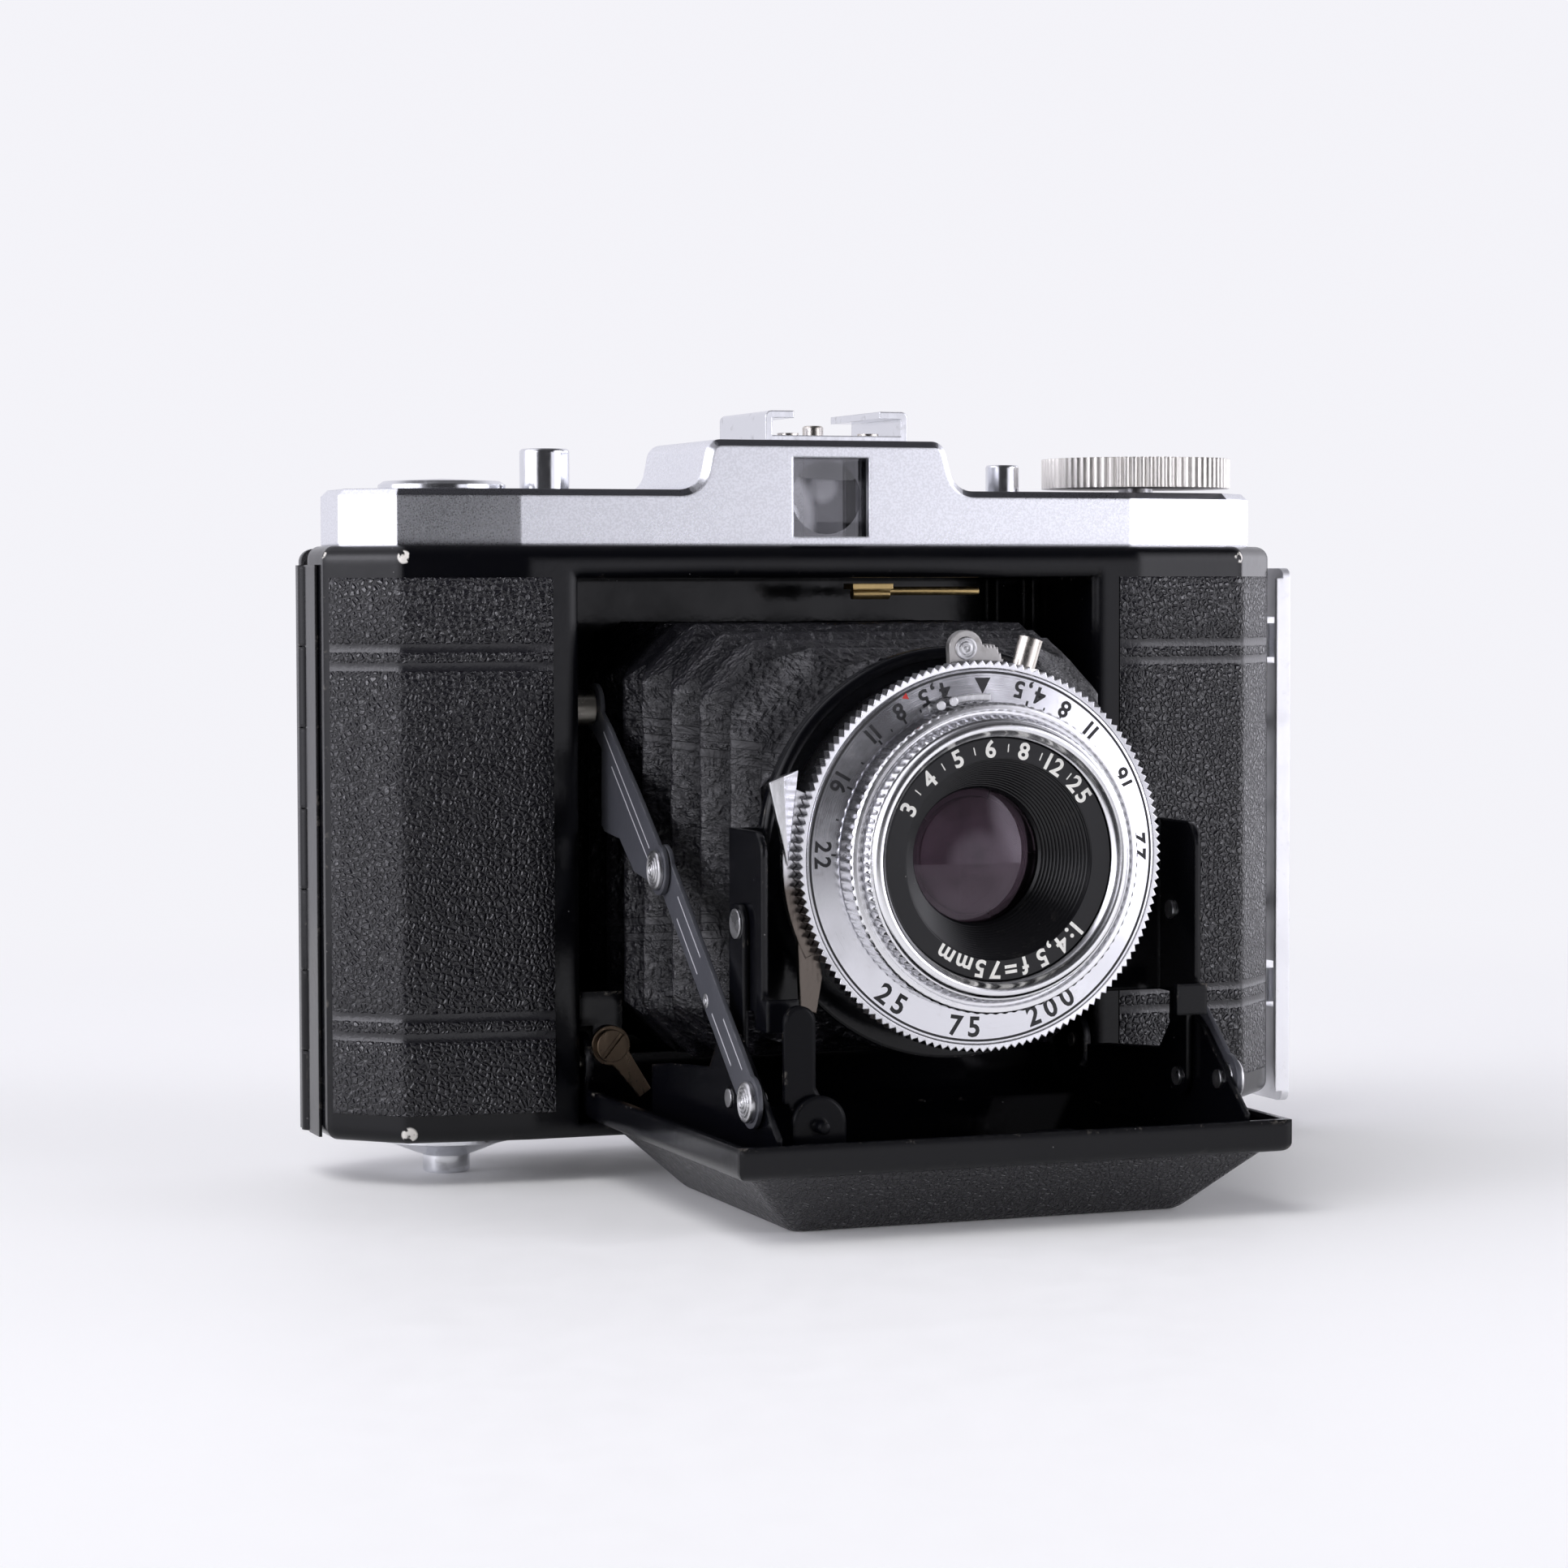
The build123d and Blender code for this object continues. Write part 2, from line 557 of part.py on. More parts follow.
with BuildPart() as film_reminder_disc:
    with BuildSketch(Plane.XZ):
        with Locations((-SPOOL_X, 0)):
            Polygon(
                (0, 78.0),
                (3.15, 78.0),
                (3.15, HOUSING_TOP + 0.05),
                (8.75, HOUSING_TOP + 0.05),
                (8.75, HOUSING_TOP + 0.7),
                (8.0, HOUSING_TOP + 1.2),
                (0, HOUSING_TOP + 1.6),
                align=None,
            )
    revolve(axis=Axis((-SPOOL_X, 0, 0), (0, 0, 1)))
    with Locations((-SPOOL_X, 0, SPOOL_BOTTOM + SPOOL_LENGTH - 4)):
        Cylinder(2.4, 10, align=(Align.CENTER, Align.CENTER, Align.MIN))
save(film_reminder_disc, "film_reminder_disc")

for side, label in ((-1, "spool_pin_supply"), (1, "spool_pin_takeup")):
    with BuildPart() as spool_pin:
        with BuildSketch(Plane.XZ):
            with Locations((side * SPOOL_X, 0)):
                Polygon(
                    (0, FLOOR_Z),
                    (3.0, FLOOR_Z),
                    (3.25, FLOOR_Z + 0.3),
                    (3.25, -3.4),
                    (4.2, -3.1),
                    (8.2, -1.5),
                    (9.5, -1.2),
                    (9.5, -0.1),
                    (2.4, -0.1),
                    (2.4, SPOOL_BOTTOM + 3.0),
                    (1.6, SPOOL_BOTTOM + 4.0),
                    (0, SPOOL_BOTTOM + 4.0),
                    align=None,
                )
        revolve(axis=Axis((side * SPOOL_X, 0, 0), (0, 0, 1)))
    save(spool_pin, label)

# A hexagon, so that it can't turn in the casting.
with BuildPart() as tripod_bush:
    with BuildSketch():
        RegularPolygon(BUSH_R - 0.02, 6, major_radius=False)
    extrude(amount=BUSH_LENGTH)
    Cylinder(BUSH_HOLE_R, 3 * BUSH_LENGTH, mode=Mode.SUBTRACT)
save(tripod_bush, "tripod_bush")

# ==== Door ======================================================================================
HINGE_Y, HINGE_Z = DOOR_HINGE
DOOR_BOTTOM = HINGE_Z - ROLL_R
PLATE_TOP = DOOR_BOTTOM + DOOR_T
ROLL_SIN = sin(radians(45))


def belly_section(z, half_x, y_range, grow):
    """The plane, centre and size of one of the belly's two rectangles."""
    front, rear = y_range
    return Plane.XY.offset(z), (0, (front + rear) / 2), (2 * (half_x + grow), rear - front + 2 * grow)


def belly_sections(grow, top_z, bottom_z):
    """The pressed belly: a rectangle at the plate tapering to a smaller flat rectangle."""
    top = belly_section(top_z, BELLY_TOP_X, BELLY_TOP_Y, grow)
    return top, belly_section(bottom_z, BELLY_FLAT_X, BELLY_FLAT_Y, grow)


with BuildPart() as door:
    with BuildSketch(side_plane(-DOOR_X)):
        with BuildLine():
            Polyline(
                (HINGE_Y, PLATE_TOP),
                (DOOR_FRONT + DOOR_T, PLATE_TOP),
                (DOOR_FRONT + DOOR_T, RIM_TOP),
                (DOOR_FRONT, RIM_TOP),
                (DOOR_FRONT, DOOR_BOTTOM),
                (HINGE_Y, DOOR_BOTTOM),
            )
            ThreePointArc(
                (HINGE_Y, DOOR_BOTTOM),
                (HINGE_Y + ROLL_R * ROLL_SIN, HINGE_Z - ROLL_R * ROLL_SIN),
                (HINGE_Y + ROLL_R, HINGE_Z),
            )
            Line((HINGE_Y + ROLL_R, HINGE_Z), (HINGE_Y + ROLL_R - DOOR_T, HINGE_Z))
            ThreePointArc(
                (HINGE_Y + ROLL_R - DOOR_T, HINGE_Z),
                (HINGE_Y + (ROLL_R - DOOR_T) * ROLL_SIN, HINGE_Z - (ROLL_R - DOOR_T) * ROLL_SIN),
                (HINGE_Y, PLATE_TOP),
            )
        make_face()
    extrude(amount=2 * DOOR_X)
    for plane_x in (-DOOR_X, DOOR_X - DOOR_T):
        with BuildSketch(side_plane(plane_x)):
            with Locations(((DOOR_FRONT + HINGE_Y) / 2, (DOOR_BOTTOM + RIM_TOP) / 2)):
                Rectangle(HINGE_Y - DOOR_FRONT, RIM_TOP - DOOR_BOTTOM)
            with Locations(DOOR_HINGE):
                Circle(4.2)
            with BuildLine():
                Line(DOOR_HINGE, (HINGE_Y, DOOR_BOTTOM))
                ThreePointArc(
                    (HINGE_Y, DOOR_BOTTOM),
                    (HINGE_Y + ROLL_R * ROLL_SIN, HINGE_Z - ROLL_R * ROLL_SIN),
                    (HINGE_Y + ROLL_R, HINGE_Z),
                )
                Line((HINGE_Y + ROLL_R, HINGE_Z), DOOR_HINGE)
            make_face()
        extrude(amount=DOOR_T)
    with Locations((0, *DOOR_HINGE)):
        Cylinder(HINGE_PIN_R, 2 * DOOR_X + 2, rotation=(0, 90, 0), mode=Mode.SUBTRACT)
    fillet(
        door.edges().filter_by(
            lambda e: abs(e.center().Z - DOOR_BOTTOM) < 0.01
            and e.center().Y < HINGE_Y - 1
            and (abs(e.center().X) > DOOR_X - 0.1 or e.center().Y < DOOR_FRONT + 0.1)
        ),
        radius=1.3,
    )
    for plane, centre, size in belly_sections(0.0, DOOR_BOTTOM + 0.5, BELLY_BOTTOM + LEATHER_T):
        with BuildSketch(plane):
            with Locations(centre):
                Rectangle(*size)
    loft()
    inside = belly_sections(-BELLY_T, PLATE_TOP + 0.01, BELLY_BOTTOM + LEATHER_T + BELLY_T)
    for plane, centre, size in inside:
        with BuildSketch(plane):
            with Locations(centre):
                Rectangle(*size)
    loft(mode=Mode.SUBTRACT)
    with Locations((5.2, DOOR_FRONT + DOOR_T + 0.8, RIM_TOP - 0.35)):
        Box(5.0, 1.6, 0.7)
save(door, "door")

with BuildPart() as door_leather:
    for plane, centre, size in belly_sections(LEATHER_T, DOOR_BOTTOM - 0.02, BELLY_BOTTOM):
        with BuildSketch(plane):
            with Locations(centre):
                Rectangle(*size)
    loft()
    for plane, centre, size in belly_sections(0.0, DOOR_BOTTOM + 0.5, BELLY_BOTTOM + LEATHER_T):
        with BuildSketch(plane):
            with Locations(centre):
                Rectangle(*size)
    loft(mode=Mode.SUBTRACT)
save(door_leather, "door_leather")

with BuildPart() as folding_pivot_pins:
    for side in (-1, 1):
        with Locations((side * (WALL_HOLE_X + DOOR_X - 1.2) / 2, *DOOR_HINGE)):
            Cylinder(HINGE_PIN_R - PIN_CLEAR, WALL_HOLE_X - DOOR_X + 1.1, rotation=(0, 90, 0))
    for side in (-1, 1):
        with Locations((side * (WALL_HOLE_X + UPPER_X[0] - 0.15) / 2, *STRUT_HEAD)):
            Cylinder(STUD_R, WALL_HOLE_X - UPPER_X[0] + 0.05, rotation=(0, 90, 0))
        with Locations((side * (RECESS_X + UPPER_X[1] + 0.25) / 2, *STRUT_HEAD)):
            Cylinder(2.4, RECESS_X - UPPER_X[1] - 0.35, rotation=(0, 90, 0))
save(folding_pivot_pins, "folding_pivot_pins")

PLATE_PIN_R = 1.2
with BuildPart() as door_gussets:
    with BuildSketch(side_plane(GUSSET_X[0])):
        Polygon(
            (-76.6, PLATE_TOP + 0.05),
            (-77.0, 7.3),
            (-64.7, 17.2),
            (-62.0, 18.6),
            (-56.5, 18.6),
            (-52.0, 13.4),
            (-35.0, 12.0),
            (-29.0, 11.2),
            (-29.0, PLATE_TOP + 0.05),
            align=None,
        )
        with Locations(ARM_ROOT, STRUT_FOOT):
            Circle(PLATE_PIN_R + PIN_CLEAR, mode=Mode.SUBTRACT)
    extrude(amount=GUSSET_X[1] - GUSSET_X[0])
    for foot_y in (-71.0, -44.0):
        with Locations(((GUSSET_X[0] + 36.2) / 2, foot_y, PLATE_TOP + 0.45)):
            Box(36.2 - GUSSET_X[0], 9.0, 0.8)
    mirror(about=Plane.YZ)
save(door_gussets, "door_gussets")

# ==== Release linkage on the door and beside the hinge ==========================================
with BuildPart() as release_ear:
    with BuildSketch(front_plane(-73.2)):
        with Locations((EAR[0], 8.45)):
            Circle(3.5)
        with Locations((EAR[0], (8.45 + PLATE_TOP + 0.05) / 2)):
            Rectangle(7.0, 8.45 - PLATE_TOP - 0.05)
    extrude(amount=0.8)
    with Locations((EAR[0], -75.4, PLATE_TOP + 0.35)):
        Box(7.0, 3.4, 0.6)
    with BuildSketch(front_plane(-71.7)):
        with Locations(EAR):
            Circle(0.8)
    extrude(amount=4.1)
    chamfer(release_ear.edges().filter_by(GeomType.CIRCLE).sort_by(Axis.Y)[0], length=0.2)
save(release_ear, "release_ear")

with BuildPart() as upright_lever:
    with BuildSketch(front_plane(-71.9)):
        with Locations(EAR):
            Circle(2.2)
        with Locations((-27.3, 12.0)):
            Circle(2.0)
        make_hull()
        with Locations((-27.5, 16.0)):
            Rectangle(4.0, 10.0)
        with Locations((-27.5, 21.0)):
            Circle(2.0)
        with Locations(EAR):
            Circle(0.85, mode=Mode.SUBTRACT)
    extrude(amount=1.0)
save(upright_lever, "upright_lever")

with BuildPart() as transfer_lever:
    with BuildSketch(front_plane(-15.5)):
        with Locations((-31.2, 9.2)):
            Circle(1.2)
        with Locations(PIVOT):
            Circle(1.8)
        make_hull()
        with Locations(PIVOT):
            Circle(2.7)
        with BuildLine():
            Polyline((-32.4, 8.6), (-29.6, 5.2), (-28.0, 6.3), (-30.2, 9.9), close=True)
        make_face()
        with Locations(PIVOT):
            Circle(0.85, mode=Mode.SUBTRACT)
    extrude(amount=0.8)
save(transfer_lever, "transfer_lever")

with BuildPart() as transfer_screw:
    with BuildSketch(front_plane(-14.2)):
        with Locations(PIVOT):
            Circle(0.8)
    extrude(amount=2.2)
    with BuildSketch(front_plane(-16.4)):
        with Locations(PIVOT):
            Circle(2.2)
    extrude(amount=0.8)
    with Locations(Plane(origin=(PIVOT[0], -17.2, PIVOT[1]), x_dir=(0.64, 0, 0.77), z_dir=(0, -1, 0))):
        Box(5.0, 0.6, 0.8, mode=Mode.SUBTRACT)
save(transfer_screw, "transfer_screw")

CATCH_Y = -9.5
CATCH_Z = 74.1
with BuildPart() as door_catch:
    for radius, low, high, z in ((0.75, 4.2, 9.7, CATCH_Z - 0.6), (0.6, 8.0, 23.3, CATCH_Z - 0.2)):
        with Locations(((low + high) / 2, CATCH_Y, z)):
            Cylinder(radius, high - low, rotation=(0, 90, 0))
    with Locations((6.6, CATCH_Y - 0.2, CATCH_Z + 0.45)):
        Box(6.0, 3.7, 0.8)
save(door_catch, "door_catch")

# ==== Folding struts ============================================================================
RIVET_R = 1.2
with BuildPart() as lower_struts:
    with BuildSketch(side_plane(LOWER_X[0])):
        with Locations(STRUT_FOOT, STRUT_KNEE):
            Circle(2.7)
        make_hull()
        with Locations(STRUT_FOOT, STRUT_KNEE):
            Circle(3.3)
        with Locations(STRUT_FOOT):
            Circle(RIVET_R + 0.02, mode=Mode.SUBTRACT)
    extrude(amount=LOWER_X[1] - LOWER_X[0])
    mirror(about=Plane.YZ)
save(lower_struts, "lower_struts")

with BuildPart() as lower_strut_rivets:
    with BuildSketch(side_plane(GUSSET_X[0] - 0.4)):
        with Locations(STRUT_FOOT):
            Circle(RIVET_R)
    extrude(amount=LOWER_X[1] - GUSSET_X[0] + 0.4)
    with BuildSketch(side_plane(GUSSET_X[1] + 0.05)):
        with Locations(STRUT_FOOT):
            Circle(2.2)
    extrude(amount=LOWER_X[0] - GUSSET_X[1] - 0.07)
    with BuildSketch(side_plane(LOWER_X[1] + 0.02)):
        with Locations(STRUT_FOOT):
            Circle(2.6)
    extrude(amount=1.2)
    mirror(about=Plane.YZ)
save(lower_strut_rivets, "lower_strut_rivets")

with BuildPart() as upper_struts:
    with BuildSketch(side_plane(UPPER_X[0])):
        with Locations(STRUT_KNEE, STRUT_HEAD):
            Circle(3.3)
        # The blade widens into a boot that stiffens it and stops it against the recess's wall.
        Polygon(
            (-37.1, 40.8),
            (-34.5, 35.6),
            (-26.9, 36.8),
            (-20.7, 40.8),
            (-14.2, 41.4),
            (-12.8, 42.2),
            (-13.0, 52.6),
            (-7.4, 55.9),
            (-7.6, 60.6),
            (-15.9, 55.8),
            (-28.7, 47.0),
            align=None,
        )
        with Locations(STRUT_HEAD):
            Circle(STUD_R + PIN_CLEAR, mode=Mode.SUBTRACT)
        with Locations(STRUT_KNEE):
            Circle(RIVET_R + 0.02, mode=Mode.SUBTRACT)
    extrude(amount=UPPER_X[1] - UPPER_X[0])
    mirror(about=Plane.YZ)
save(upper_struts, "upper_struts")

with BuildPart() as knee_rivets:
    with BuildSketch(side_plane(UPPER_X[0])):
        with Locations(STRUT_KNEE):
            Circle(RIVET_R)
    extrude(amount=UPPER_X[1] - UPPER_X[0])
    with BuildSketch(side_plane(UPPER_X[1])):
        with Locations(STRUT_KNEE):
            Circle(2.6)
    extrude(amount=1.1)
    mirror(about=Plane.YZ)
save(knee_rivets, "knee_rivets")

# ==== Arms that carry the lens standard =========================================================
ARM_PIN_R = 1.2
with BuildPart() as standard_arms:
    with BuildSketch(side_plane(ARM_X[0])):
        with Locations(ARM_ROOT, ARM_TIP):
            Circle(2.6)
        make_hull()
        with Locations(ARM_ROOT, ARM_TIP):
            Circle(ARM_PIN_R + 0.02, mode=Mode.SUBTRACT)
    extrude(amount=ARM_X[1] - ARM_X[0])
    mirror(about=Plane.YZ)
save(standard_arms, "standard_arms")

with BuildPart() as arm_rivets:
    with BuildSketch(side_plane(ARM_X[0] - 0.4)):
        with Locations(ARM_ROOT):
            Circle(ARM_PIN_R)
    extrude(amount=GUSSET_X[1] - ARM_X[0] + 0.6)
    with BuildSketch(side_plane(FLANGE_IN - 0.4)):
        with Locations(ARM_TIP):
            Circle(ARM_PIN_R)
    extrude(amount=ARM_X[1] - FLANGE_IN + 0.4)
    with BuildSketch(side_plane(ARM_X[1] + 0.02)):
        with Locations(ARM_TIP):
            Circle(1.9)
    extrude(amount=0.2)
    mirror(about=Plane.YZ)
save(arm_rivets, "arm_rivets")

# ==== Lens standard =============================================================================
FLANGE_TOP = 44.05
FLANGE_BOTTOM = 21.45
FLANGE_FRONT = -66.6
with BuildPart() as lens_standard:
    with BuildSketch(front_plane(STANDARD_REAR)):
        with Locations((0, LENS_Z)):
            Circle(STANDARD_R)
        with Locations((0, (FLANGE_BOTTOM + FLANGE_TOP) / 2)):
            Rectangle(2 * FLANGE_OUT, FLANGE_TOP - FLANGE_BOTTOM)
        with Locations((0, LENS_Z)):
            Circle(12.0, mode=Mode.SUBTRACT)
    extrude(amount=STANDARD_REAR - STANDARD_FRONT)
    with BuildSketch(side_plane(FLANGE_IN)):
        with Locations(((STANDARD_REAR + FLANGE_FRONT) / 2, (FLANGE_BOTTOM + FLANGE_TOP) / 2)):
            Rectangle(STANDARD_REAR - FLANGE_FRONT, FLANGE_TOP - FLANGE_BOTTOM)
        with Locations(ARM_TIP):
            Circle(ARM_PIN_R + PIN_CLEAR, mode=Mode.SUBTRACT)
    extrude(amount=FLANGE_OUT - FLANGE_IN)
    with BuildSketch(side_plane(-FLANGE_OUT)):
        with Locations(((STANDARD_REAR + FLANGE_FRONT) / 2, (FLANGE_BOTTOM + FLANGE_TOP) / 2)):
            Rectangle(STANDARD_REAR - FLANGE_FRONT, FLANGE_TOP - FLANGE_BOTTOM)
        with Locations(ARM_TIP):
            Circle(ARM_PIN_R + PIN_CLEAR, mode=Mode.SUBTRACT)
    extrude(amount=FLANGE_OUT - FLANGE_IN)
    fillet(
        lens_standard.edges().filter_by(
            lambda e: abs(e.center().Y - FLANGE_FRONT) < 0.01
            and abs(e.center().X) < FLANGE_OUT
            and abs(e.length - (FLANGE_OUT - FLANGE_IN)) < 0.01
        ),
        radius=3.0,
    )
    # Folded catches at the foot of each flange.
    for side in (-1, 1):
        with Locations((side * 28.1, -67.9, 21.3)):
            Box(4.2, 1.1, 4.0)
        with Locations((side * (FLANGE_IN + FLANGE_OUT) / 2, -66.2, 21.3)):
            Box(FLANGE_OUT - FLANGE_IN, 4.5, 4.0)
save(lens_standard, "lens_standard")

# ==== Shutter ===================================================================================
with BuildPart() as shutter_case:
    with BuildSketch(Plane.YZ):
        Polygon(
            *turned(
                (
                    (STANDARD_FRONT - 0.05, 10.0),
                    (STANDARD_FRONT - 0.05, CASE_R),
                    (CASE_FRONT, CASE_R),
                    (CASE_FRONT, CASE_R - 1.4),
                    (STANDARD_FRONT - 1.2, CASE_R - 1.4),
                    (STANDARD_FRONT - 1.2, 10.0),
                )
            ),
            align=None,
        )
    revolve(axis=LENS_AXIS)
    with Locations((POST_X, POST_Y, POST_FOOT_Z)):
        Cylinder(POST_R + 0.02, 8.0, rotation=(0, POST_LEAN, 0), mode=Mode.SUBTRACT)
save(shutter_case, "shutter_case")

with BuildPart() as face_plate:
    with BuildSketch(lens_plane(FACE_Y + 1.0)):
        Circle(RING_IN - 0.1)
        Circle(FACE_HOLE_R, mode=Mode.SUBTRACT)
    extrude(amount=1.0)
save(face_plate, "face_plate")


def blade_fan(count, inner, outer, gap):
    """Flat sectors round the lens axis with a small gap between neighbours."""
    Circle(outer)
    Circle(inner, mode=Mode.SUBTRACT)
    with PolarLocations(0, count):
        with Locations((outer / 2, 0)):
            Rectangle(outer + 1, gap, mode=Mode.SUBTRACT)


with BuildPart() as shutter_and_iris_blades:
    with BuildSketch(lens_plane(-61.6)):
        blade_fan(5, 7.6, 20.0, 0.3)
    extrude(amount=0.2)
    with BuildSketch(lens_plane(-59.6)):
        blade_fan(3, 8.6, 20.0, 0.3)
    extrude(amount=0.2)
save(shutter_and_iris_blades, "shutter_and_iris_blades")

with BuildPart() as cable_release_post:
    with Locations((POST_X, POST_Y, POST_FOOT_Z)):
        Cylinder(POST_R, POST_LENGTH, rotation=(0, POST_LEAN, 0))
        Cylinder(0.95, POST_LENGTH + 1, rotation=(0, POST_LEAN, 0), mode=Mode.SUBTRACT)
save(cable_release_post, "cable_release_post")

with BuildPart() as speed_ring:
    tooth = 2 * pi / RING_TEETH
    rim = []
    for i in range(RING_TEETH):
        rim.append((RING_R * cos(i * tooth), RING_R * sin(i * tooth)))
        rim.append(((RING_R - 0.55) * cos((i + 0.62) * tooth), (RING_R - 0.55) * sin((i + 0.62) * tooth)))
    with BuildSketch(lens_plane(CASE_FRONT + 0.9)):
        Polygon(*rim, align=None)
        Circle(RING_IN, mode=Mode.SUBTRACT)
    extrude(amount=CASE_FRONT + 0.9 - FACE_Y)
save(speed_ring, "speed_ring")

with BuildPart() as speed_ring_tab:
    with BuildSketch(lens_plane(CASE_FRONT + 2.2)):
        Circle(27.2)
        Circle(CASE_R + 0.4, mode=Mode.SUBTRACT)
        with Locations((0, 25.4)):
            Rectangle(7.2, 4.2, mode=Mode.INTERSECT)
        with Locations((-1.4, 26.4)):
            Circle(2.3)
    extrude(amount=1.25)
save(speed_ring_tab, "speed_ring_tab")

LEVER_Y = CASE_FRONT + 2.2
with BuildPart() as shutter_release_lever:
    with BuildSketch(lens_plane(LEVER_Y)):
        Circle(26.2)
        Circle(CASE_R + 0.4, mode=Mode.SUBTRACT)
        Polygon((0, 0), (-40, 12), (-40, -22), align=None, mode=Mode.INTERSECT)
        Polygon((-24.4, -8.6), (-20.2, -10.4), (-20.2, -15.0), (-21.6, -19.4), (-24.0, -18.6), align=None)
        Circle(CASE_R + 0.3, mode=Mode.SUBTRACT)
    extrude(amount=1.0)
    with BuildSketch(lens_plane(LEVER_Y)):
        Polygon((-22.1, 11.5), (-28.2, 9.8), (-27.4, 5.0), (-25.3, -0.5), (-25.0, 4.0), align=None)
        Circle(RING_R + 0.25, mode=Mode.SUBTRACT)
    extrude(amount=2.0)
save(shutter_release_lever, "shutter_release_lever")

with BuildPart() as aperture_pointer:
    with BuildSketch(lens_plane(FACE_Y - 0.05)):
        Circle(20.7)
        Circle(FOCUS_R + 0.1, mode=Mode.SUBTRACT)
        Polygon((0, 0), (-12.0, 30), (1.4, 30), align=None, mode=Mode.INTERSECT)
    extrude(amount=0.35)
    with BuildSketch(lens_plane(FACE_Y - 0.05)):
        with Locations((-6.9, 19.3), (-5.2, 19.8)):
            Circle(0.6)
    extrude(amount=3.0)
save(aperture_pointer, "aperture_pointer")

# ==== Lens ======================================================================================
with BuildPart() as focus_ring:
    with BuildSketch(Plane.YZ):
        Polygon(
            *turned(
                (
                    (FACE_Y - 0.45, NAME_R + 0.05),
                    (FACE_Y - 0.45, FOCUS_R),
                    (-70.9, FOCUS_R),
                    (-71.4, FOCUS_R - 0.5),
                    (-71.4, RIM_R + 0.4),
                    (RIM_FRONT + 0.3, RIM_R),
                    (RIM_FRONT, RIM_R - 0.4),
                    (RIM_FRONT, RIM_R - 0.9),
                    (-71.0, NAME_R + 0.05),
                )
            ),
            align=None,
        )
    revolve(axis=LENS_AXIS)
save(focus_ring, "focus_ring")

with BuildPart() as lens_name_ring:
    with BuildSketch(Plane.YZ):
        Polygon(
            *turned(
                (
                    (-70.9, NAME_R),
                    (-70.9, 12.6),
                    (-66.6, GLASS_R + 0.4),
                    (-64.0, GLASS_R + 0.4),
                    (-64.0, 10.4),
                    (FACE_Y - 0.45, 10.4),
                    (FACE_Y - 0.45, NAME_R),
                )
            ),
            align=None,
        )
    revolve(axis=LENS_AXIS)
save(lens_name_ring, "lens_name_ring")

# Each glass: its rim's front and rear, its radius and how far each face bulges forward or back.
GLASSES = (
    ("front_lens_glass", ((-65.6, -64.2, GLASS_R + 0.38, 1.1, 0.4),)),
    ("rear_lens_glasses", ((-62.9, -62.1, 7.4, -0.25, -0.25), (-53.1, -51.5, 7.95, 0.5, 0.6))),
)


def arc_middle(radius, bulge):
    """The point half way along an arc centred on the axis: its radius, and its bulge there."""
    ball = (radius**2 + bulge**2) / (2 * bulge)
    half_angle = asin(radius / ball) / 2
    return ball * sin(half_angle), bulge - ball * (1 - cos(half_angle))


for label, elements in GLASSES:
    with BuildPart() as glass:
        for front_y, rear_y, radius, front_bulge, rear_bulge in elements:
            front_r, front_bow = arc_middle(radius, front_bulge)
            rear_r, rear_bow = arc_middle(radius, rear_bulge)
            with BuildSketch(Plane.YZ):
                with BuildLine():
                    Line((rear_y + rear_bulge, LENS_Z), (front_y - front_bulge, LENS_Z))
                    ThreePointArc(
                        (front_y - front_bulge, LENS_Z),
                        (front_y - front_bow, LENS_Z + front_r),
                        (front_y, LENS_Z + radius),
                    )
                    Line((front_y, LENS_Z + radius), (rear_y, LENS_Z + radius))
                    ThreePointArc(
                        (rear_y, LENS_Z + radius),
                        (rear_y + rear_bow, LENS_Z + rear_r),
                        (rear_y + rear_bulge, LENS_Z),
                    )
                make_face()
            revolve(axis=LENS_AXIS)
    save(glass, label)

with BuildPart() as rear_lens_cell:
    with BuildSketch(Plane.YZ):
        Polygon(
            *turned(
                (
                    (STANDARD_FRONT, 9.0),
                    (STANDARD_FRONT, 11.9),
                    (STANDARD_REAR + 0.1, 11.9),
                    (STANDARD_REAR + 0.1, 11.0),
                    (-50.4, 11.0),
                    (-50.4, 8.0),
                    (-53.6, 8.0),
                    (-53.6, 9.0),
                )
            ),
            align=None,
        )
    revolve(axis=LENS_AXIS)
save(rear_lens_cell, "rear_lens_cell")

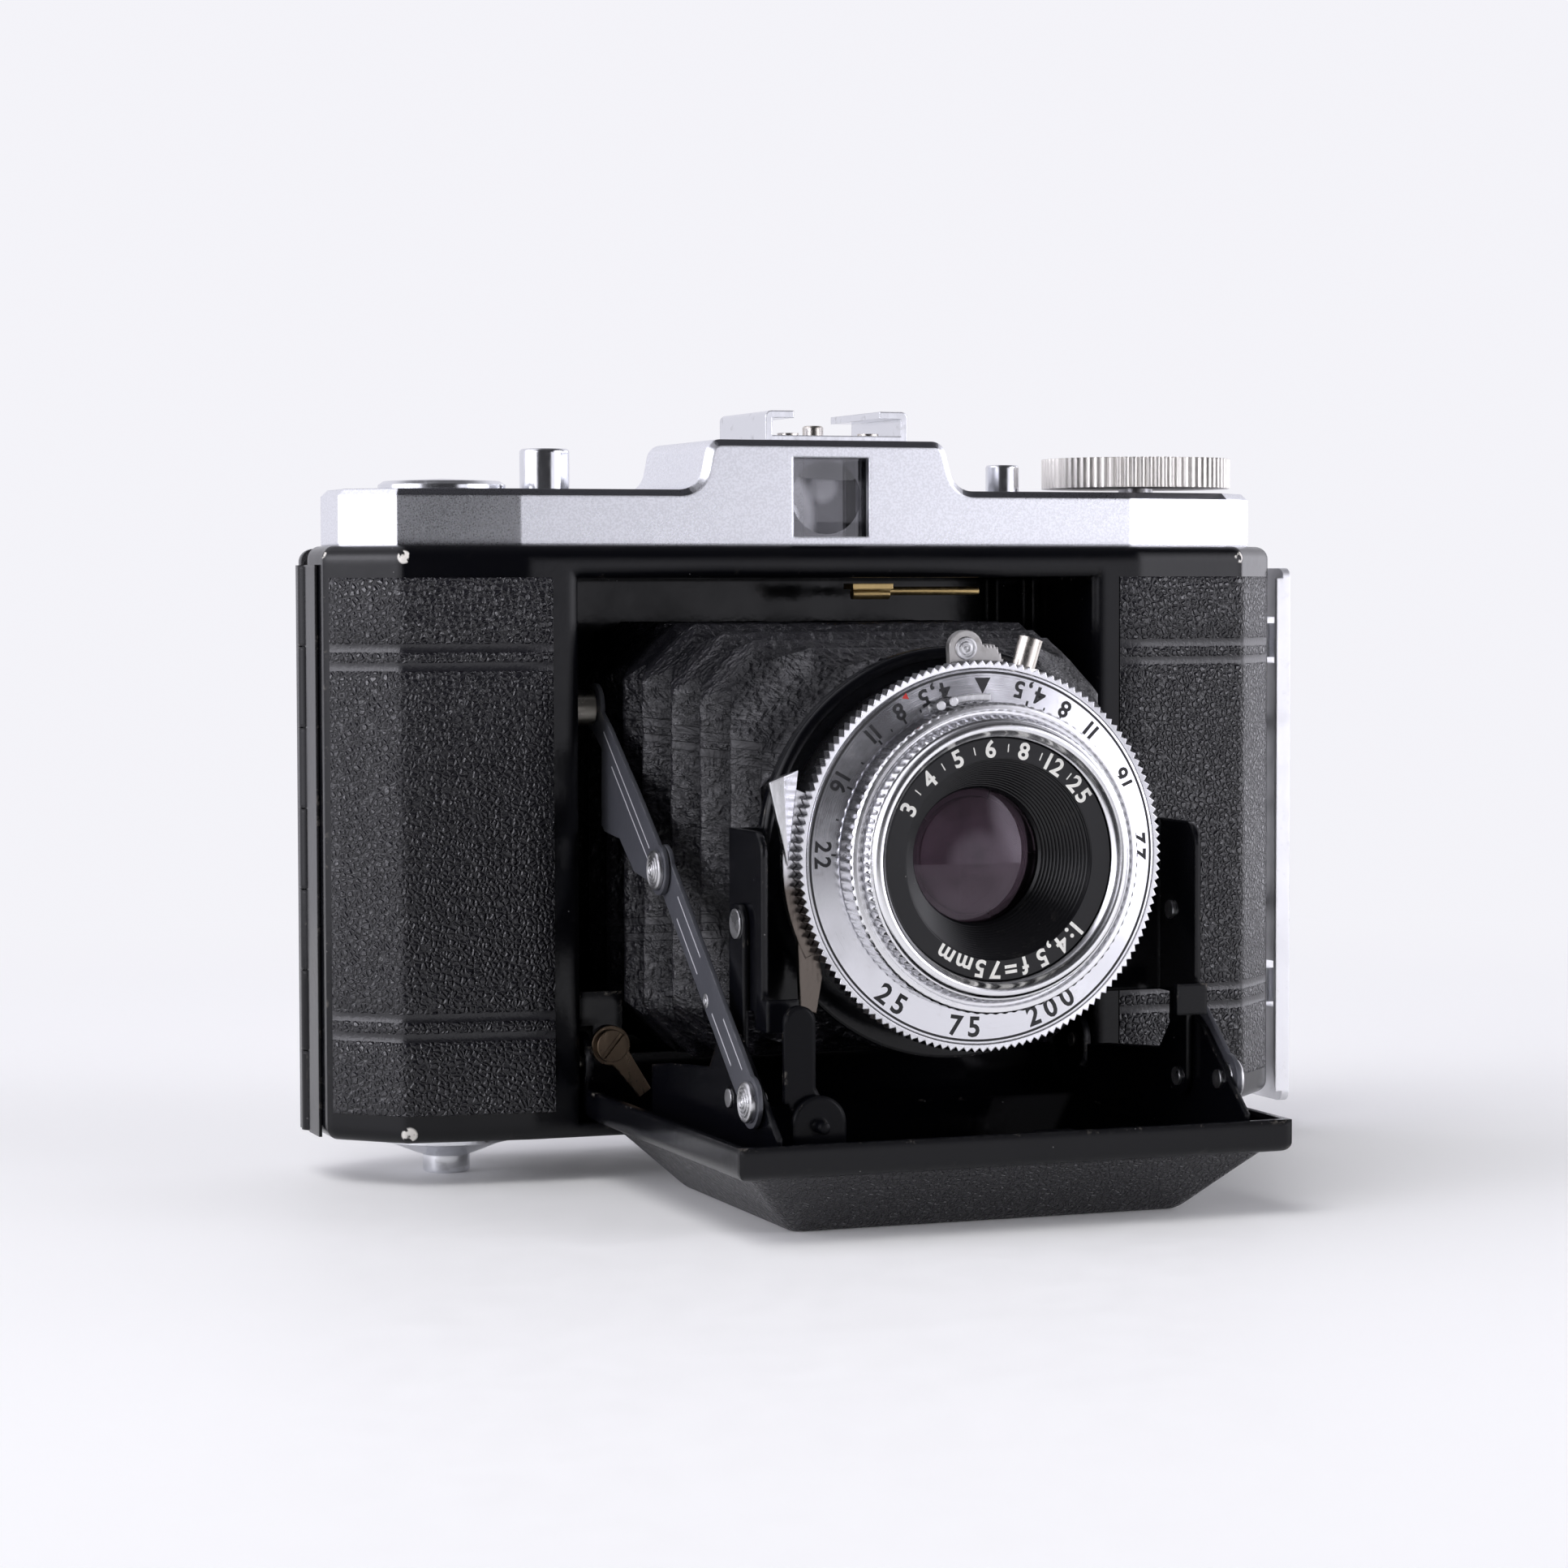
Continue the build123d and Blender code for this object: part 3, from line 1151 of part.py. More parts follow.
# ==== Back cover with its hinge, latch, window and pressure plate ===============================
BACK_BOTTOM = 0.1
BACK_TOP = 79.9
WINDOW_Z = LENS_Z
WINDOW_R = 5.0
RAIL_X = WINDOW_R + 1.4
RAIL_W = 1.4
RAIL_LENGTH = 17.0
RAIL_RISE = 6.5
with BuildPart() as back_cover:
    with BuildSketch(Plane.XY.offset(BACK_BOTTOM)):
        Polygon(*both_sides(BACK_LINE), align=None)
    extrude(amount=BACK_TOP - BACK_BOTTOM)
    outer = back_cover.edges().filter_by(lambda e: e.center().Y > SPLIT_Y + PART_GAP + 1)
    caps = outer.group_by(Axis.Z)[0] + outer.group_by(Axis.Z)[-1]
    fillet(caps, radius=EDGE_R)
    with BuildSketch(Plane.XY.offset(BACK_BOTTOM + BACK_T)):
        inner_line = offset_line(BACK_LINE, -BACK_T)
        inner_line[0] = (inner_line[0][0], SPLIT_Y)
        Polygon(*both_sides(inner_line), align=None)
    extrude(amount=BACK_TOP - BACK_BOTTOM - 2 * BACK_T, mode=Mode.SUBTRACT)
    with Locations((BACK_HINGE[0], BACK_HINGE[1], BODY_H / 2)):
        Cylinder(KNUCKLE_R + 0.35, BODY_H + 2, mode=Mode.SUBTRACT)
    with BuildSketch(front_plane(REAR_Y + 1)):
        with Locations((0, WINDOW_Z)):
            Circle(WINDOW_R)
    extrude(amount=4, mode=Mode.SUBTRACT)
save(back_cover, "back_cover")

with BuildPart() as back_leather:
    inner = [(69.4, 8.8), (SLANT_X, 13.8), (FACE_X, REAR_Y), (20.0, REAR_Y)]
    skin = inner + list(reversed(offset_line(inner, LEATHER_T)))
    with BuildSketch(Plane.XY.offset(LEATHER_BOTTOM)):
        Polygon(*skin, align=None)
        Polygon(*[(-x, y) for x, y in skin], align=None)
        with Locations((0, REAR_Y + LEATHER_T / 2)):
            Rectangle(41.0, LEATHER_T)
    extrude(amount=LEATHER_TOP - LEATHER_BOTTOM)
    with BuildSketch(front_plane(REAR_Y + 2)):
        with Locations((0, WINDOW_Z)):
            Circle(WINDOW_R + 2.5)
        for side in (-1, 1):
            with Locations((side * RAIL_X, WINDOW_Z + RAIL_RISE)):
                Rectangle(RAIL_W + 0.2, RAIL_LENGTH + 0.2)
    extrude(amount=4, mode=Mode.SUBTRACT)
save(back_leather, "back_leather")

with BuildPart() as back_fittings:
    with BuildSketch(front_plane(REAR_Y + 1.0)):
        with Locations((0, WINDOW_Z)):
            Circle(WINDOW_R + 2.3)
            Circle(WINDOW_R, mode=Mode.SUBTRACT)
        for side in (-1, 1):
            with Locations((side * RAIL_X, WINDOW_Z + RAIL_RISE)):
                Rectangle(RAIL_W, RAIL_LENGTH)
    extrude(amount=0.95)
    # Guide studs of the latch strip, riveted into the end of the cover.
    for height in GUIDE_HEIGHTS:
        with Locations((END_X + 0.02, GUIDE_Y, height)):
            Cylinder(
                1.1,
                LATCH_X[1] - END_X,
                rotation=(0, 90, 0),
                align=(Align.CENTER, Align.CENTER, Align.MIN),
            )
save(back_fittings, "back_fittings")

with BuildPart() as red_window:
    with BuildSketch(front_plane(REAR_Y - 0.1)):
        with Locations((0, WINDOW_Z)):
            Circle(WINDOW_R - 0.05)
    extrude(amount=0.8)
save(red_window, "red_window")

with BuildPart() as window_slide:
    with BuildSketch(front_plane(REAR_Y + 1.9)):
        with Locations((0, WINDOW_Z)):
            SlotOverall(15.0, 12.6, rotation=90)
    extrude(amount=0.6)
    with Locations((0, REAR_Y + 2.2, WINDOW_Z + 4.0)):
        Box(7.0, 1.0, 1.2)
save(window_slide, "window_slide")

with BuildPart() as pressure_plate:
    with BuildSketch(front_plane(12.8)):
        with Locations((0, LENS_Z)):
            RectangleRounded(68.0, 60.0, 3.0)
            Circle(WINDOW_R + 1.0, mode=Mode.SUBTRACT)
    extrude(amount=0.8)
save(pressure_plate, "pressure_plate")

with BuildPart() as pressure_springs:
    for side in (-1, 1):
        with BuildSketch(side_plane(side * 20.0 - 3.0)):
            with BuildLine():
                ThreePointArc((12.9, LENS_Z - 20.0), (14.3, LENS_Z), (12.9, LENS_Z + 20.0))
                Line((12.9, LENS_Z + 20.0), (13.1, LENS_Z + 20.0))
                ThreePointArc((13.1, LENS_Z + 20.0), (14.5, LENS_Z), (13.1, LENS_Z - 20.0))
                Line((13.1, LENS_Z - 20.0), (12.9, LENS_Z - 20.0))
            make_face()
        extrude(amount=6.0)
save(pressure_springs, "pressure_springs")

KNUCKLE_LENGTH = (HINGE_TOP - HINGE_BOTTOM) / KNUCKLES
LEAF_X = (-71.15, -70.75)


def hinge_leaf(knuckle_numbers, near_y, far_y):
    """Knuckles on the hinge line with a leaf plate, as wide as the knuckles are long."""
    leaf_mid = (LEAF_X[0] + LEAF_X[1]) / 2
    leaf_t = LEAF_X[1] - LEAF_X[0]
    for number in knuckle_numbers:
        z = HINGE_BOTTOM + (number + 0.5) * KNUCKLE_LENGTH
        with Locations((BACK_HINGE[0], BACK_HINGE[1], z)):
            Cylinder(KNUCKLE_R, KNUCKLE_LENGTH - 0.2)
        with Locations((leaf_mid, (BACK_HINGE[1] + near_y) / 2, z)):
            Box(leaf_t, abs(near_y - BACK_HINGE[1]), KNUCKLE_LENGTH - 0.2)
    with Locations((leaf_mid, (near_y + far_y) / 2, (HINGE_BOTTOM + HINGE_TOP) / 2)):
        Box(leaf_t, abs(far_y - near_y), HINGE_TOP - HINGE_BOTTOM)


with BuildPart() as hinge_leaf_body:
    hinge_leaf(range(0, KNUCKLES, 2), 2.2, -3.5)
    with Locations((*BACK_HINGE, (HINGE_BOTTOM + HINGE_TOP) / 2)):
        Cylinder(0.6, HINGE_TOP - HINGE_BOTTOM)
save(hinge_leaf_body, "hinge_leaf_body")

with BuildPart() as hinge_leaf_back:
    hinge_leaf(range(1, KNUCKLES, 2), 6.0, 7.5)
    with Locations((*BACK_HINGE, BODY_H / 2)):
        Cylinder(0.65, BODY_H, mode=Mode.SUBTRACT)
save(hinge_leaf_back, "hinge_leaf_back")

with BuildPart() as back_latch:
    with BuildSketch(side_plane(LATCH_X[0])) as strip:
        with Locations(((LATCH_Y[0] + LATCH_Y[1]) / 2, (LATCH_Z[0] + LATCH_Z[1]) / 2)):
            Rectangle(LATCH_Y[1] - LATCH_Y[0], LATCH_Z[1] - LATCH_Z[0])
        fillet(strip.vertices(), radius=1.5)
        for height in GUIDE_HEIGHTS:
            with Locations((GUIDE_Y, height - LATCH_TRAVEL / 2)):
                SlotOverall(LATCH_TRAVEL + 2.6, 2.6, rotation=90, mode=Mode.SUBTRACT)
        for height in (66.5, 15.5):
            with Locations((LATCH_Y[0] + 3.6, height)):
                Rectangle(3.6, 6.8, mode=Mode.SUBTRACT)
    extrude(amount=LATCH_X[1] - LATCH_X[0])
    with BuildSketch(side_plane(LATCH_X[0] - 1.0)):
        with Locations((LATCH_Y[0] + 0.4, (LATCH_Z[0] + LATCH_Z[1]) / 2)):
            Rectangle(0.8, LATCH_Z[1] - LATCH_Z[0] - 3.0)
    extrude(amount=1.0)
save(back_latch, "back_latch")

with BuildPart() as latch_keepers:
    for height in (66.5, 15.5):
        with Locations(((END_X + 73.9) / 2 + 0.02, -1.4, height)):
            Box(73.9 - END_X, 3.0, 5.0)
save(latch_keepers, "latch_keepers")
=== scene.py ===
import json
from math import cos, hypot, pi, radians, sin, sqrt
import bmesh
import bpy
from mathutils import Matrix, Vector, noise


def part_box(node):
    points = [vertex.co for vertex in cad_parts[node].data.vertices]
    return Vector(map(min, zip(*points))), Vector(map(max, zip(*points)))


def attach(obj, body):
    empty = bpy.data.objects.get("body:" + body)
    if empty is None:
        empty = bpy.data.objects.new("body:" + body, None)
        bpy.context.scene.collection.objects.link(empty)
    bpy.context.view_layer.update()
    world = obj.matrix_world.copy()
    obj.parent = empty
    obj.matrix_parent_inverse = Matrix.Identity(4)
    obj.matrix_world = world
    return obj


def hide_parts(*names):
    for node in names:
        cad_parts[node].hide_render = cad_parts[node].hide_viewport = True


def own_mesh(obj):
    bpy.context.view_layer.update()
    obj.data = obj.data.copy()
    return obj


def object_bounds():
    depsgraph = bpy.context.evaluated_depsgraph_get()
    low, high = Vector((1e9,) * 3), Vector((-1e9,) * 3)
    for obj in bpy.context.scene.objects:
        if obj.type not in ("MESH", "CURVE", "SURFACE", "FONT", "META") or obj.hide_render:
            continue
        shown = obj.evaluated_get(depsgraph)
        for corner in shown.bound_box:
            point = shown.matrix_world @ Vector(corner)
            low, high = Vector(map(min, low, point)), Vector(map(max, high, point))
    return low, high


# A folding roll-film camera on a pale table.  Metres; the lens looks along -Y, +Z is up.
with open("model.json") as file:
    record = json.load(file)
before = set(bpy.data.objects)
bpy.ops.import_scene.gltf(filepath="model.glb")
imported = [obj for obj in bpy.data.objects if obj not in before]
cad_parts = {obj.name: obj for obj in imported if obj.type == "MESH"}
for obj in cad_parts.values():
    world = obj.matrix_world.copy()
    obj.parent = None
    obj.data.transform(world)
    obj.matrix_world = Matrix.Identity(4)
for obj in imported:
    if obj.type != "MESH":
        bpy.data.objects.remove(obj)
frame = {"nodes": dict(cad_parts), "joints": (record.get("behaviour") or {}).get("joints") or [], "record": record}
cad_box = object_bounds()

MM = 0.001
NODES = frame["nodes"]
JOINTS = {joint["name"]: joint for joint in frame["joints"]}
LENS_Z = JOINTS["focus_turn"]["pos_m"][2]
FLOOR_Z = cad_box[0][2]


def add_object(name, data):
    """A new object in the scene."""
    thing = bpy.data.objects.new(name, data)
    bpy.context.scene.collection.objects.link(thing)
    return thing


# ---- Camera, stage and light ----
YAW = 20.368
PITCH = 2.788
ROLL = -0.156
CAMERA_PLACE = (-0.19959, -0.53088, 0.07417)
FOCAL_LENGTH = 91.76
BACKDROP = (0.905, 0.900, 0.945)
TABLE_R = 0.44
# The backdrop: a flat out to a radius, then a quarter round, then a wall up to its ceiling.
BOWL_R = 1.2
BOWL_CURVE = 0.8
BOWL_TOP = 3.0
# Each soft box: its direction, the cosines where it starts and ends, and its strength.
SOFT_BOXES = (
    ((0.80, -0.55, 0.16), 0.880, 0.955, 2.9),
    ((-1.0, -0.12, 0.22), 0.800, 0.930, 2.3),
    ((0.38, -0.91, -0.12), 0.965, 0.992, 1.25),
    ((0.80, -0.55, 0.22), 0.982, 0.994, 5.0),
    ((-1.0, -0.20, 0.26), 0.975, 0.992, 5.0),
    ((0.95, 0.28, 0.10), 0.930, 0.975, 1.6),
    ((-0.45, 0.30, 0.85), 0.900, 0.970, 1.2),
)


def make_camera():
    """The camera: level but for a slight tilt down, from the left of the lens."""
    psi, theta, rho = radians(YAW), radians(PITCH), radians(ROLL)
    ahead = Vector((sin(psi) * cos(theta), cos(psi) * cos(theta), -sin(theta)))
    right = Vector((cos(psi), -sin(psi), 0.0))
    up = right.cross(ahead)
    rolled_right = right * cos(rho) + up * sin(rho)
    rolled_up = up * cos(rho) - right * sin(rho)
    data = bpy.data.cameras.new("photo_view")
    data.lens = FOCAL_LENGTH
    data.sensor_width = 36.0
    data.clip_start = 0.01
    camera = add_object("photo_view", data)
    turn = Matrix((rolled_right, rolled_up, -ahead)).transposed().to_4x4()
    camera.matrix_world = Matrix.Translation(CAMERA_PLACE) @ turn
    bpy.context.scene.camera = camera


class Nodes:
    """A node tree and the kinds of node that are added to it."""

    def __init__(self, tree):
        self.tree = tree

    def plug(self, socket, value):
        if isinstance(value, bpy.types.NodeSocket):
            self.tree.links.new(value, socket)
        else:
            socket.default_value = value

    def add(self, kind, inputs=None, **settings):
        node = self.tree.nodes.new("ShaderNode" + kind)
        for name, value in settings.items():
            setattr(node, name, value)
        for name, value in (inputs or {}).items():
            self.plug(node.inputs[name], value)
        return node

    def vector(self, operation, a, b=None):
        """A vector operation's result, which is a number for a product, a length or a distance."""
        inputs = {0: a} if b is None else {0: a, 1: b}
        node = self.add("VectorMath", inputs, operation=operation)
        number = operation in ("DOT_PRODUCT", "LENGTH", "DISTANCE")
        return node.outputs["Value" if number else "Vector"]

    def math(self, operation, a, b=0.0):
        return self.add("Math", {0: a, 1: b}, operation=operation).outputs[0]

    def times(self, a, b):
        return self.math("MULTIPLY", a, b)

    def plus(self, a, b):
        return self.math("ADD", a, b)

    def gap(self, a, b):
        return self.math("ABSOLUTE", self.math("SUBTRACT", a, b))

    def span(self, value, low, high, to_low=0.0, to_high=1.0, smooth=False):
        """A value's range from low to high, mapped to another range and held there."""
        inputs = {0: value, 1: low, 2: high, 3: to_low, 4: to_high}
        kind = "SMOOTHSTEP" if smooth else "LINEAR"
        return self.add("MapRange", inputs, interpolation_type=kind).outputs[0]


class Look(Nodes):
    """A node material and the patterns that these materials are made of."""

    def __init__(self, name, colour, metallic=0.0, roughness=0.5):
        self.name = name
        self.material = bpy.data.materials.new(name)
        self.material.use_nodes = True
        super().__init__(self.material.node_tree)
        self.shader = self.tree.nodes["Principled BSDF"]
        self.set("Base Color", (*colour, 1.0))
        self.set("Metallic", metallic)
        self.set("Roughness", roughness)
        self.place = self.add("TexCoord").outputs["Object"]

    def set(self, socket, value):
        self.plug(self.shader.inputs[socket], value)

    def surface(self, shader):
        """Shows a shader's output in place of the plain one."""
        self.plug(self.tree.nodes["Material Output"].inputs["Surface"], shader)

    def blend(self, share, first, second):
        """Shows the second of two shaders by a share, and the first for the rest."""
        mixed = self.add("MixShader", {0: share, 1: first, 2: second})
        self.surface(mixed.outputs[0])

    def glow(self):
        """A plain light in the backdrop's colour."""
        return self.add("Emission", {0: (*BACKDROP, 1.0), 1: 1.0}).outputs[0]

    def stretched(self, x, y, z, place=None):
        """The place, with each axis multiplied, for grain that runs one way."""
        return self.vector("MULTIPLY", place or self.place, (x, y, z))

    def noise(self, scale, detail=3.0, rough=0.5, place=None, warp=0.0):
        inputs = {"Vector": place or self.place, "Scale": scale, "Detail": detail}
        inputs.update({"Roughness": rough, "Distortion": warp})
        return self.add("TexNoise", inputs).outputs[0]

    def cells(self, scale, place=None, feature="SMOOTH_F1"):
        """Distance to the nearest of many scattered points, or to the border between them."""
        inputs = {"Vector": place or self.place, "Scale": scale, "Randomness": 1.0}
        return self.add("TexVoronoi", inputs, feature=feature).outputs["Distance"]

    def mix(self, share, a, b):
        node = self.add("Mix", {0: share}, data_type="RGBA")
        self.plug(node.inputs[6], a if isinstance(a, bpy.types.NodeSocket) else (*a, 1.0))
        self.plug(node.inputs[7], b if isinstance(b, bpy.types.NodeSocket) else (*b, 1.0))
        return node.outputs[2]

    def bump(self, height, depth, base=None):
        inputs = {"Height": height, "Distance": depth, "Strength": 1.0}
        if base is not None:
            inputs["Normal"] = base
        return self.add("Bump", inputs).outputs[0]

    def rounded(self, radius):
        """A normal that runs round sharp edges, as a small radius would."""
        return self.add("Bevel", {"Radius": radius}, samples=4).outputs[0]

    def edges(self, radius):
        """1 along outer edges and 0 on flats."""
        soft = self.rounded(radius)
        flat = self.add("NewGeometry").outputs["Normal"]
        return self.span(self.vector("DOT_PRODUCT", soft, flat), 0.99, 0.82)

    def axis(self, letter):
        return self.add("SeparateXYZ", {0: self.place}).outputs[letter]

    def near(self, point, radius):
        """1 within about a radius of a point, 0 beyond."""
        return self.span(self.vector("DISTANCE", self.place, point), radius, radius * 0.8)


def make_stage():
    """A pale table that fades into a pale backdrop with no edge to see."""
    look = Look("table", (0.955, 0.955, 0.955), roughness=0.6)
    grain = look.noise(220.0, 4.0)
    look.set("Roughness", look.span(grain, 0.3, 0.7, 0.5, 0.65))
    look.set("Normal", look.bump(grain, 0.00002))
    share = look.span(look.vector("LENGTH", look.place), 0.12, 0.42, 0.04, 1.0, smooth=True)
    look.blend(share, look.shader.outputs[0], look.glow())
    centre = Vector((0.0, 0.0, FLOOR_Z))
    rings = [(0.0, radius) for radius in (0.0, 0.1, 0.2, 0.3, TABLE_R)]
    table = lathe("table", rings, centre, (0, 0, 1), look, steps=96, unit=1.0)
    # The backdrop shows to the camera alone, so the studio's light passes through it.
    wall = Look("backdrop", BACKDROP)
    wall.surface(wall.glow())
    bowl = [(0.0, TABLE_R), (-0.0005, BOWL_R)]
    for step in range(1, 11):
        turn = step * pi / 20
        bowl.append((BOWL_CURVE - BOWL_CURVE * cos(turn), BOWL_R + BOWL_CURVE * sin(turn)))
    bowl += [(BOWL_TOP, BOWL_R + BOWL_CURVE), (BOWL_TOP, 0.0)]
    backdrop = lathe("backdrop", bowl, centre, (0, 0, 1), wall, steps=96, unit=1.0)
    for ray in ("glossy", "diffuse", "transmission", "shadow"):
        setattr(backdrop, "visible_" + ray, False)


def make_world():
    """A ring of soft light: bright at the sides, dim overhead and behind the photographer."""
    world = bpy.data.worlds.new("studio")
    world.use_nodes = True
    bpy.context.scene.world = world
    nodes = Nodes(world.node_tree)
    background = nodes.tree.nodes["Background"]
    towards = nodes.add("TexCoord").outputs["Generated"]
    split = nodes.add("SeparateXYZ", {0: towards})
    height, depth = split.outputs["Z"], split.outputs["Y"]
    # The pale wall behind, dim overhead, and a dark room in front.
    behind = nodes.span(depth, -0.25, 0.35, 0.045, 0.86, True)
    wall = nodes.times(behind, nodes.span(height, 0.55, 0.88, 1.0, 0.16, True))
    overhead = nodes.span(height, 0.70, 0.95, 0.0, 0.11, True)
    ceiling = nodes.times(overhead, nodes.span(depth, -0.2, 0.3, 1.0, 0.0, True))
    strength = nodes.plus(wall, ceiling)
    for direction, start, end, gain in SOFT_BOXES:
        facing = nodes.vector("DOT_PRODUCT", towards, tuple(Vector(direction).normalized()))
        strength = nodes.plus(strength, nodes.span(facing, start, end, 0.0, gain, True))
    background.inputs["Color"].default_value = (0.950, 0.940, 1.02, 1.0)
    nodes.plug(background.inputs["Strength"], strength)


def area_light(name, place, target, size, watts):
    """A square soft light that no surface mirrors."""
    data = bpy.data.lights.new(name, "AREA")
    data.energy = watts
    data.shape = "RECTANGLE"
    data.size = size
    data.size_y = size
    light = add_object(name, data)
    light.location = place
    light.rotation_euler = (Vector(target) - Vector(place)).to_track_quat("-Z", "Y").to_euler()
    light.visible_camera = False
    light.visible_glossy = False


# ---- Mesh helpers ----
def mesh_piece(name, verts, faces, look, angle=30.0):
    """A smooth-shaded mesh object, creased where its faces meet at more than an angle."""
    mesh = bpy.data.meshes.new(name)
    mesh.from_pydata(verts, [], faces)
    build = bmesh.new()
    build.from_mesh(mesh)
    bmesh.ops.remove_doubles(build, verts=build.verts, dist=1e-7)
    bmesh.ops.recalc_face_normals(build, faces=build.faces)
    build.to_mesh(mesh)
    build.free()
    mesh.polygons.foreach_set("use_smooth", [True] * len(mesh.polygons))
    mesh.set_sharp_from_angle(angle=radians(angle))
    mesh.materials.append(look.material)
    return add_object(name, mesh)


def on_body(piece, body, slot, *replaced):
    """Rides a piece on a body and hides the CAD nodes that it stands for."""
    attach(piece, body)
    if replaced:
        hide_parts(*replaced)
    return piece


def lathe(name, profile, centre, direction, look, steps=160, closed=False, angle=30.0, teeth=None,
          unit=MM):
    """A profile of (distance along, radius) points turned round an axis.

    teeth gives, for a profile point's number, a function of the turn that adds to its radius."""
    profile = [(distance * unit, radius * unit) for distance, radius in profile]
    along = Vector(direction).normalized()
    side = along.orthogonal().normalized()
    up = along.cross(side)
    verts = []
    for i in range(steps):
        turn = 2 * pi * i / steps
        out = side * cos(turn) + up * sin(turn)
        for number, (distance, radius) in enumerate(profile):
            extra = teeth[number](i) if teeth and number in teeth else 0.0
            verts.append(centre + along * distance + out * (radius + extra))
    count = len(profile)
    faces = []
    for i in range(steps):
        j = (i + 1) % steps
        for k in range(count if closed else count - 1):
            m = (k + 1) % count
            faces.append((i * count + k, i * count + m, j * count + m, j * count + k))
    return mesh_piece(name, verts, faces, look, angle)


def plate(name, outline, thickness, place, look, angle=30.0):
    """A flat outline given in 2-D, thickened, then placed by a function of (u, v, w)."""
    count = len(outline)
    verts = [place(u, v, 0.0) for u, v in outline] + [place(u, v, thickness) for u, v in outline]
    faces = [tuple(range(count)), tuple(range(2 * count - 1, count - 1, -1))]
    for i in range(count):
        j = (i + 1) % count
        faces.append((i, j, count + j, count + i))
    return mesh_piece(name, verts, faces, look, angle)


def join(name, pieces):
    """Several pieces as one object."""
    build = bmesh.new()
    for piece in pieces:
        build.from_mesh(piece.data)
    mesh = pieces[0].data.copy()
    build.to_mesh(mesh)
    build.free()
    for piece in pieces:
        bpy.data.objects.remove(piece)
    mesh.name = name
    return add_object(name, mesh)


def in_lens_plane(back):
    """Places (across, up) from the lens axis, and a height toward the subject, as a point."""
    def place(u, v, w):
        return Vector((u * MM, (back - w) * MM, LENS_Z + v * MM))
    return place


def polar(radius, angle):
    """A point (across, up) from the lens axis, its angle in degrees clockwise from the top."""
    return radius * sin(radians(angle)), radius * cos(radians(angle))


# ---- Materials ----
ENAMEL = (0.0020, 0.0021, 0.0032)
LEATHER = (0.0065, 0.0062, 0.0088)
CREAM = (0.80, 0.79, 0.74)
# The housing's bright-cut chamfer faces forward and up; there its colour is painted dark, a painted reflection of
# the dim room in front.
BEVEL_FACING = (0.0, -0.7071, 0.7071)


def shade(colour, gain):
    return tuple(gain * c for c in colour)


def enamel(name, colour=ENAMEL, gloss=0.09, wear=0.5, chips=(), radius=0.0006, shine=0.27):
    """Black stove enamel: glossy, faintly uneven, dusty, and worn bright along its edges."""
    look = Look(name, colour, roughness=gloss)
    look.set("Specular IOR Level", shine)
    smear = look.noise(90.0, 5.0, 0.6)
    look.set("Roughness", look.span(smear, 0.35, 0.75, gloss, gloss + 0.13))
    dust = look.span(look.cells(330.0, feature="F1"), 0.035, 0.02)
    tint = look.mix(look.times(dust, 0.35), colour, (0.42, 0.41, 0.40))
    patchy = look.span(look.noise(420.0, 4.0, 0.65), 0.60, 0.68)
    worn = look.times(look.edges(radius * 0.8), look.times(patchy, wear))
    tint = look.mix(worn, tint, (0.42, 0.38, 0.33))
    for point, size in chips:
        ragged = look.span(look.noise(900.0, 2.0), 0.40, 0.50)
        mask = look.times(look.near(point, size * MM), ragged)
        tint = look.mix(mask, tint, (0.80, 0.77, 0.72))
    look.set("Base Color", tint)
    peel = look.bump(look.noise(700.0, 2.0), 0.000012, look.rounded(radius))
    look.set("Normal", peel)
    return look


def satin_chrome(name, colour):
    """Bead-blasted chrome plating with a fine sparkle, and a painted dark reflection on its bright-cut chamfer."""
    look = Look(name, colour, metallic=1.0, roughness=0.34)
    sparkle = look.noise(5200.0, 2.0, 0.7)
    cloud = look.noise(60.0, 4.0)
    clouded = look.span(cloud, 0.3, 0.7, -0.03, 0.04)
    look.set("Roughness", look.plus(look.span(sparkle, 0.35, 0.65, 0.27, 0.36), clouded))
    facing = look.add("NewGeometry").outputs["True Normal"]
    # Painted reflection: faces turned forward and up are coloured near-black, standing for the dim room that the
    # chamfer mirrors.
    painted_bevel_reflection = look.span(look.vector("DOT_PRODUCT", facing, BEVEL_FACING), 0.93, 0.97)
    speck = look.span(look.noise(3400.0, 1.0, 0.5), 0.40, 0.60)
    tint = look.mix(speck, shade(colour, 0.93), tuple(min(1.0, c) for c in shade(colour, 1.06)))
    look.set("Base Color", look.mix(look.times(painted_bevel_reflection, 0.85), tint, (0.13, 0.13, 0.15)))
    look.set("Normal", look.bump(sparkle, 0.000006, look.rounded(0.0005)))
    return look


def plated(name, colour, roughness=0.12, scratch=0.5, tarnish=0.3, dark_below=None):
    """Polished metal with hairline scratches, smears and a little tarnish, brown below a height."""
    look = Look(name, colour, metallic=1.0, roughness=roughness)
    hair = look.noise(1500.0, 2.0, 0.6, look.stretched(1.0, 0.18, 0.25))
    smear = look.noise(160.0, 5.0, 0.6)
    rough = look.span(hair, 0.40, 0.70, roughness, roughness + 0.16 * scratch)
    rough = look.plus(rough, look.span(smear, 0.45, 0.75, 0.0, 0.12))
    look.set("Roughness", rough)
    spots = look.span(look.noise(420.0, 5.0, 0.7), 0.58, 0.74)
    stained = look.times(spots, tarnish)
    if dark_below is not None:
        browned = look.span(look.axis("Z"), dark_below + 0.002, dark_below - 0.002, 0.0, 0.93)
        stained = look.math("MAXIMUM", stained, browned)
    look.set("Base Color", look.mix(stained, colour, (0.085, 0.065, 0.048)))
    look.set("Normal", look.bump(hair, 0.000006 * scratch, look.rounded(0.00025)))
    return look


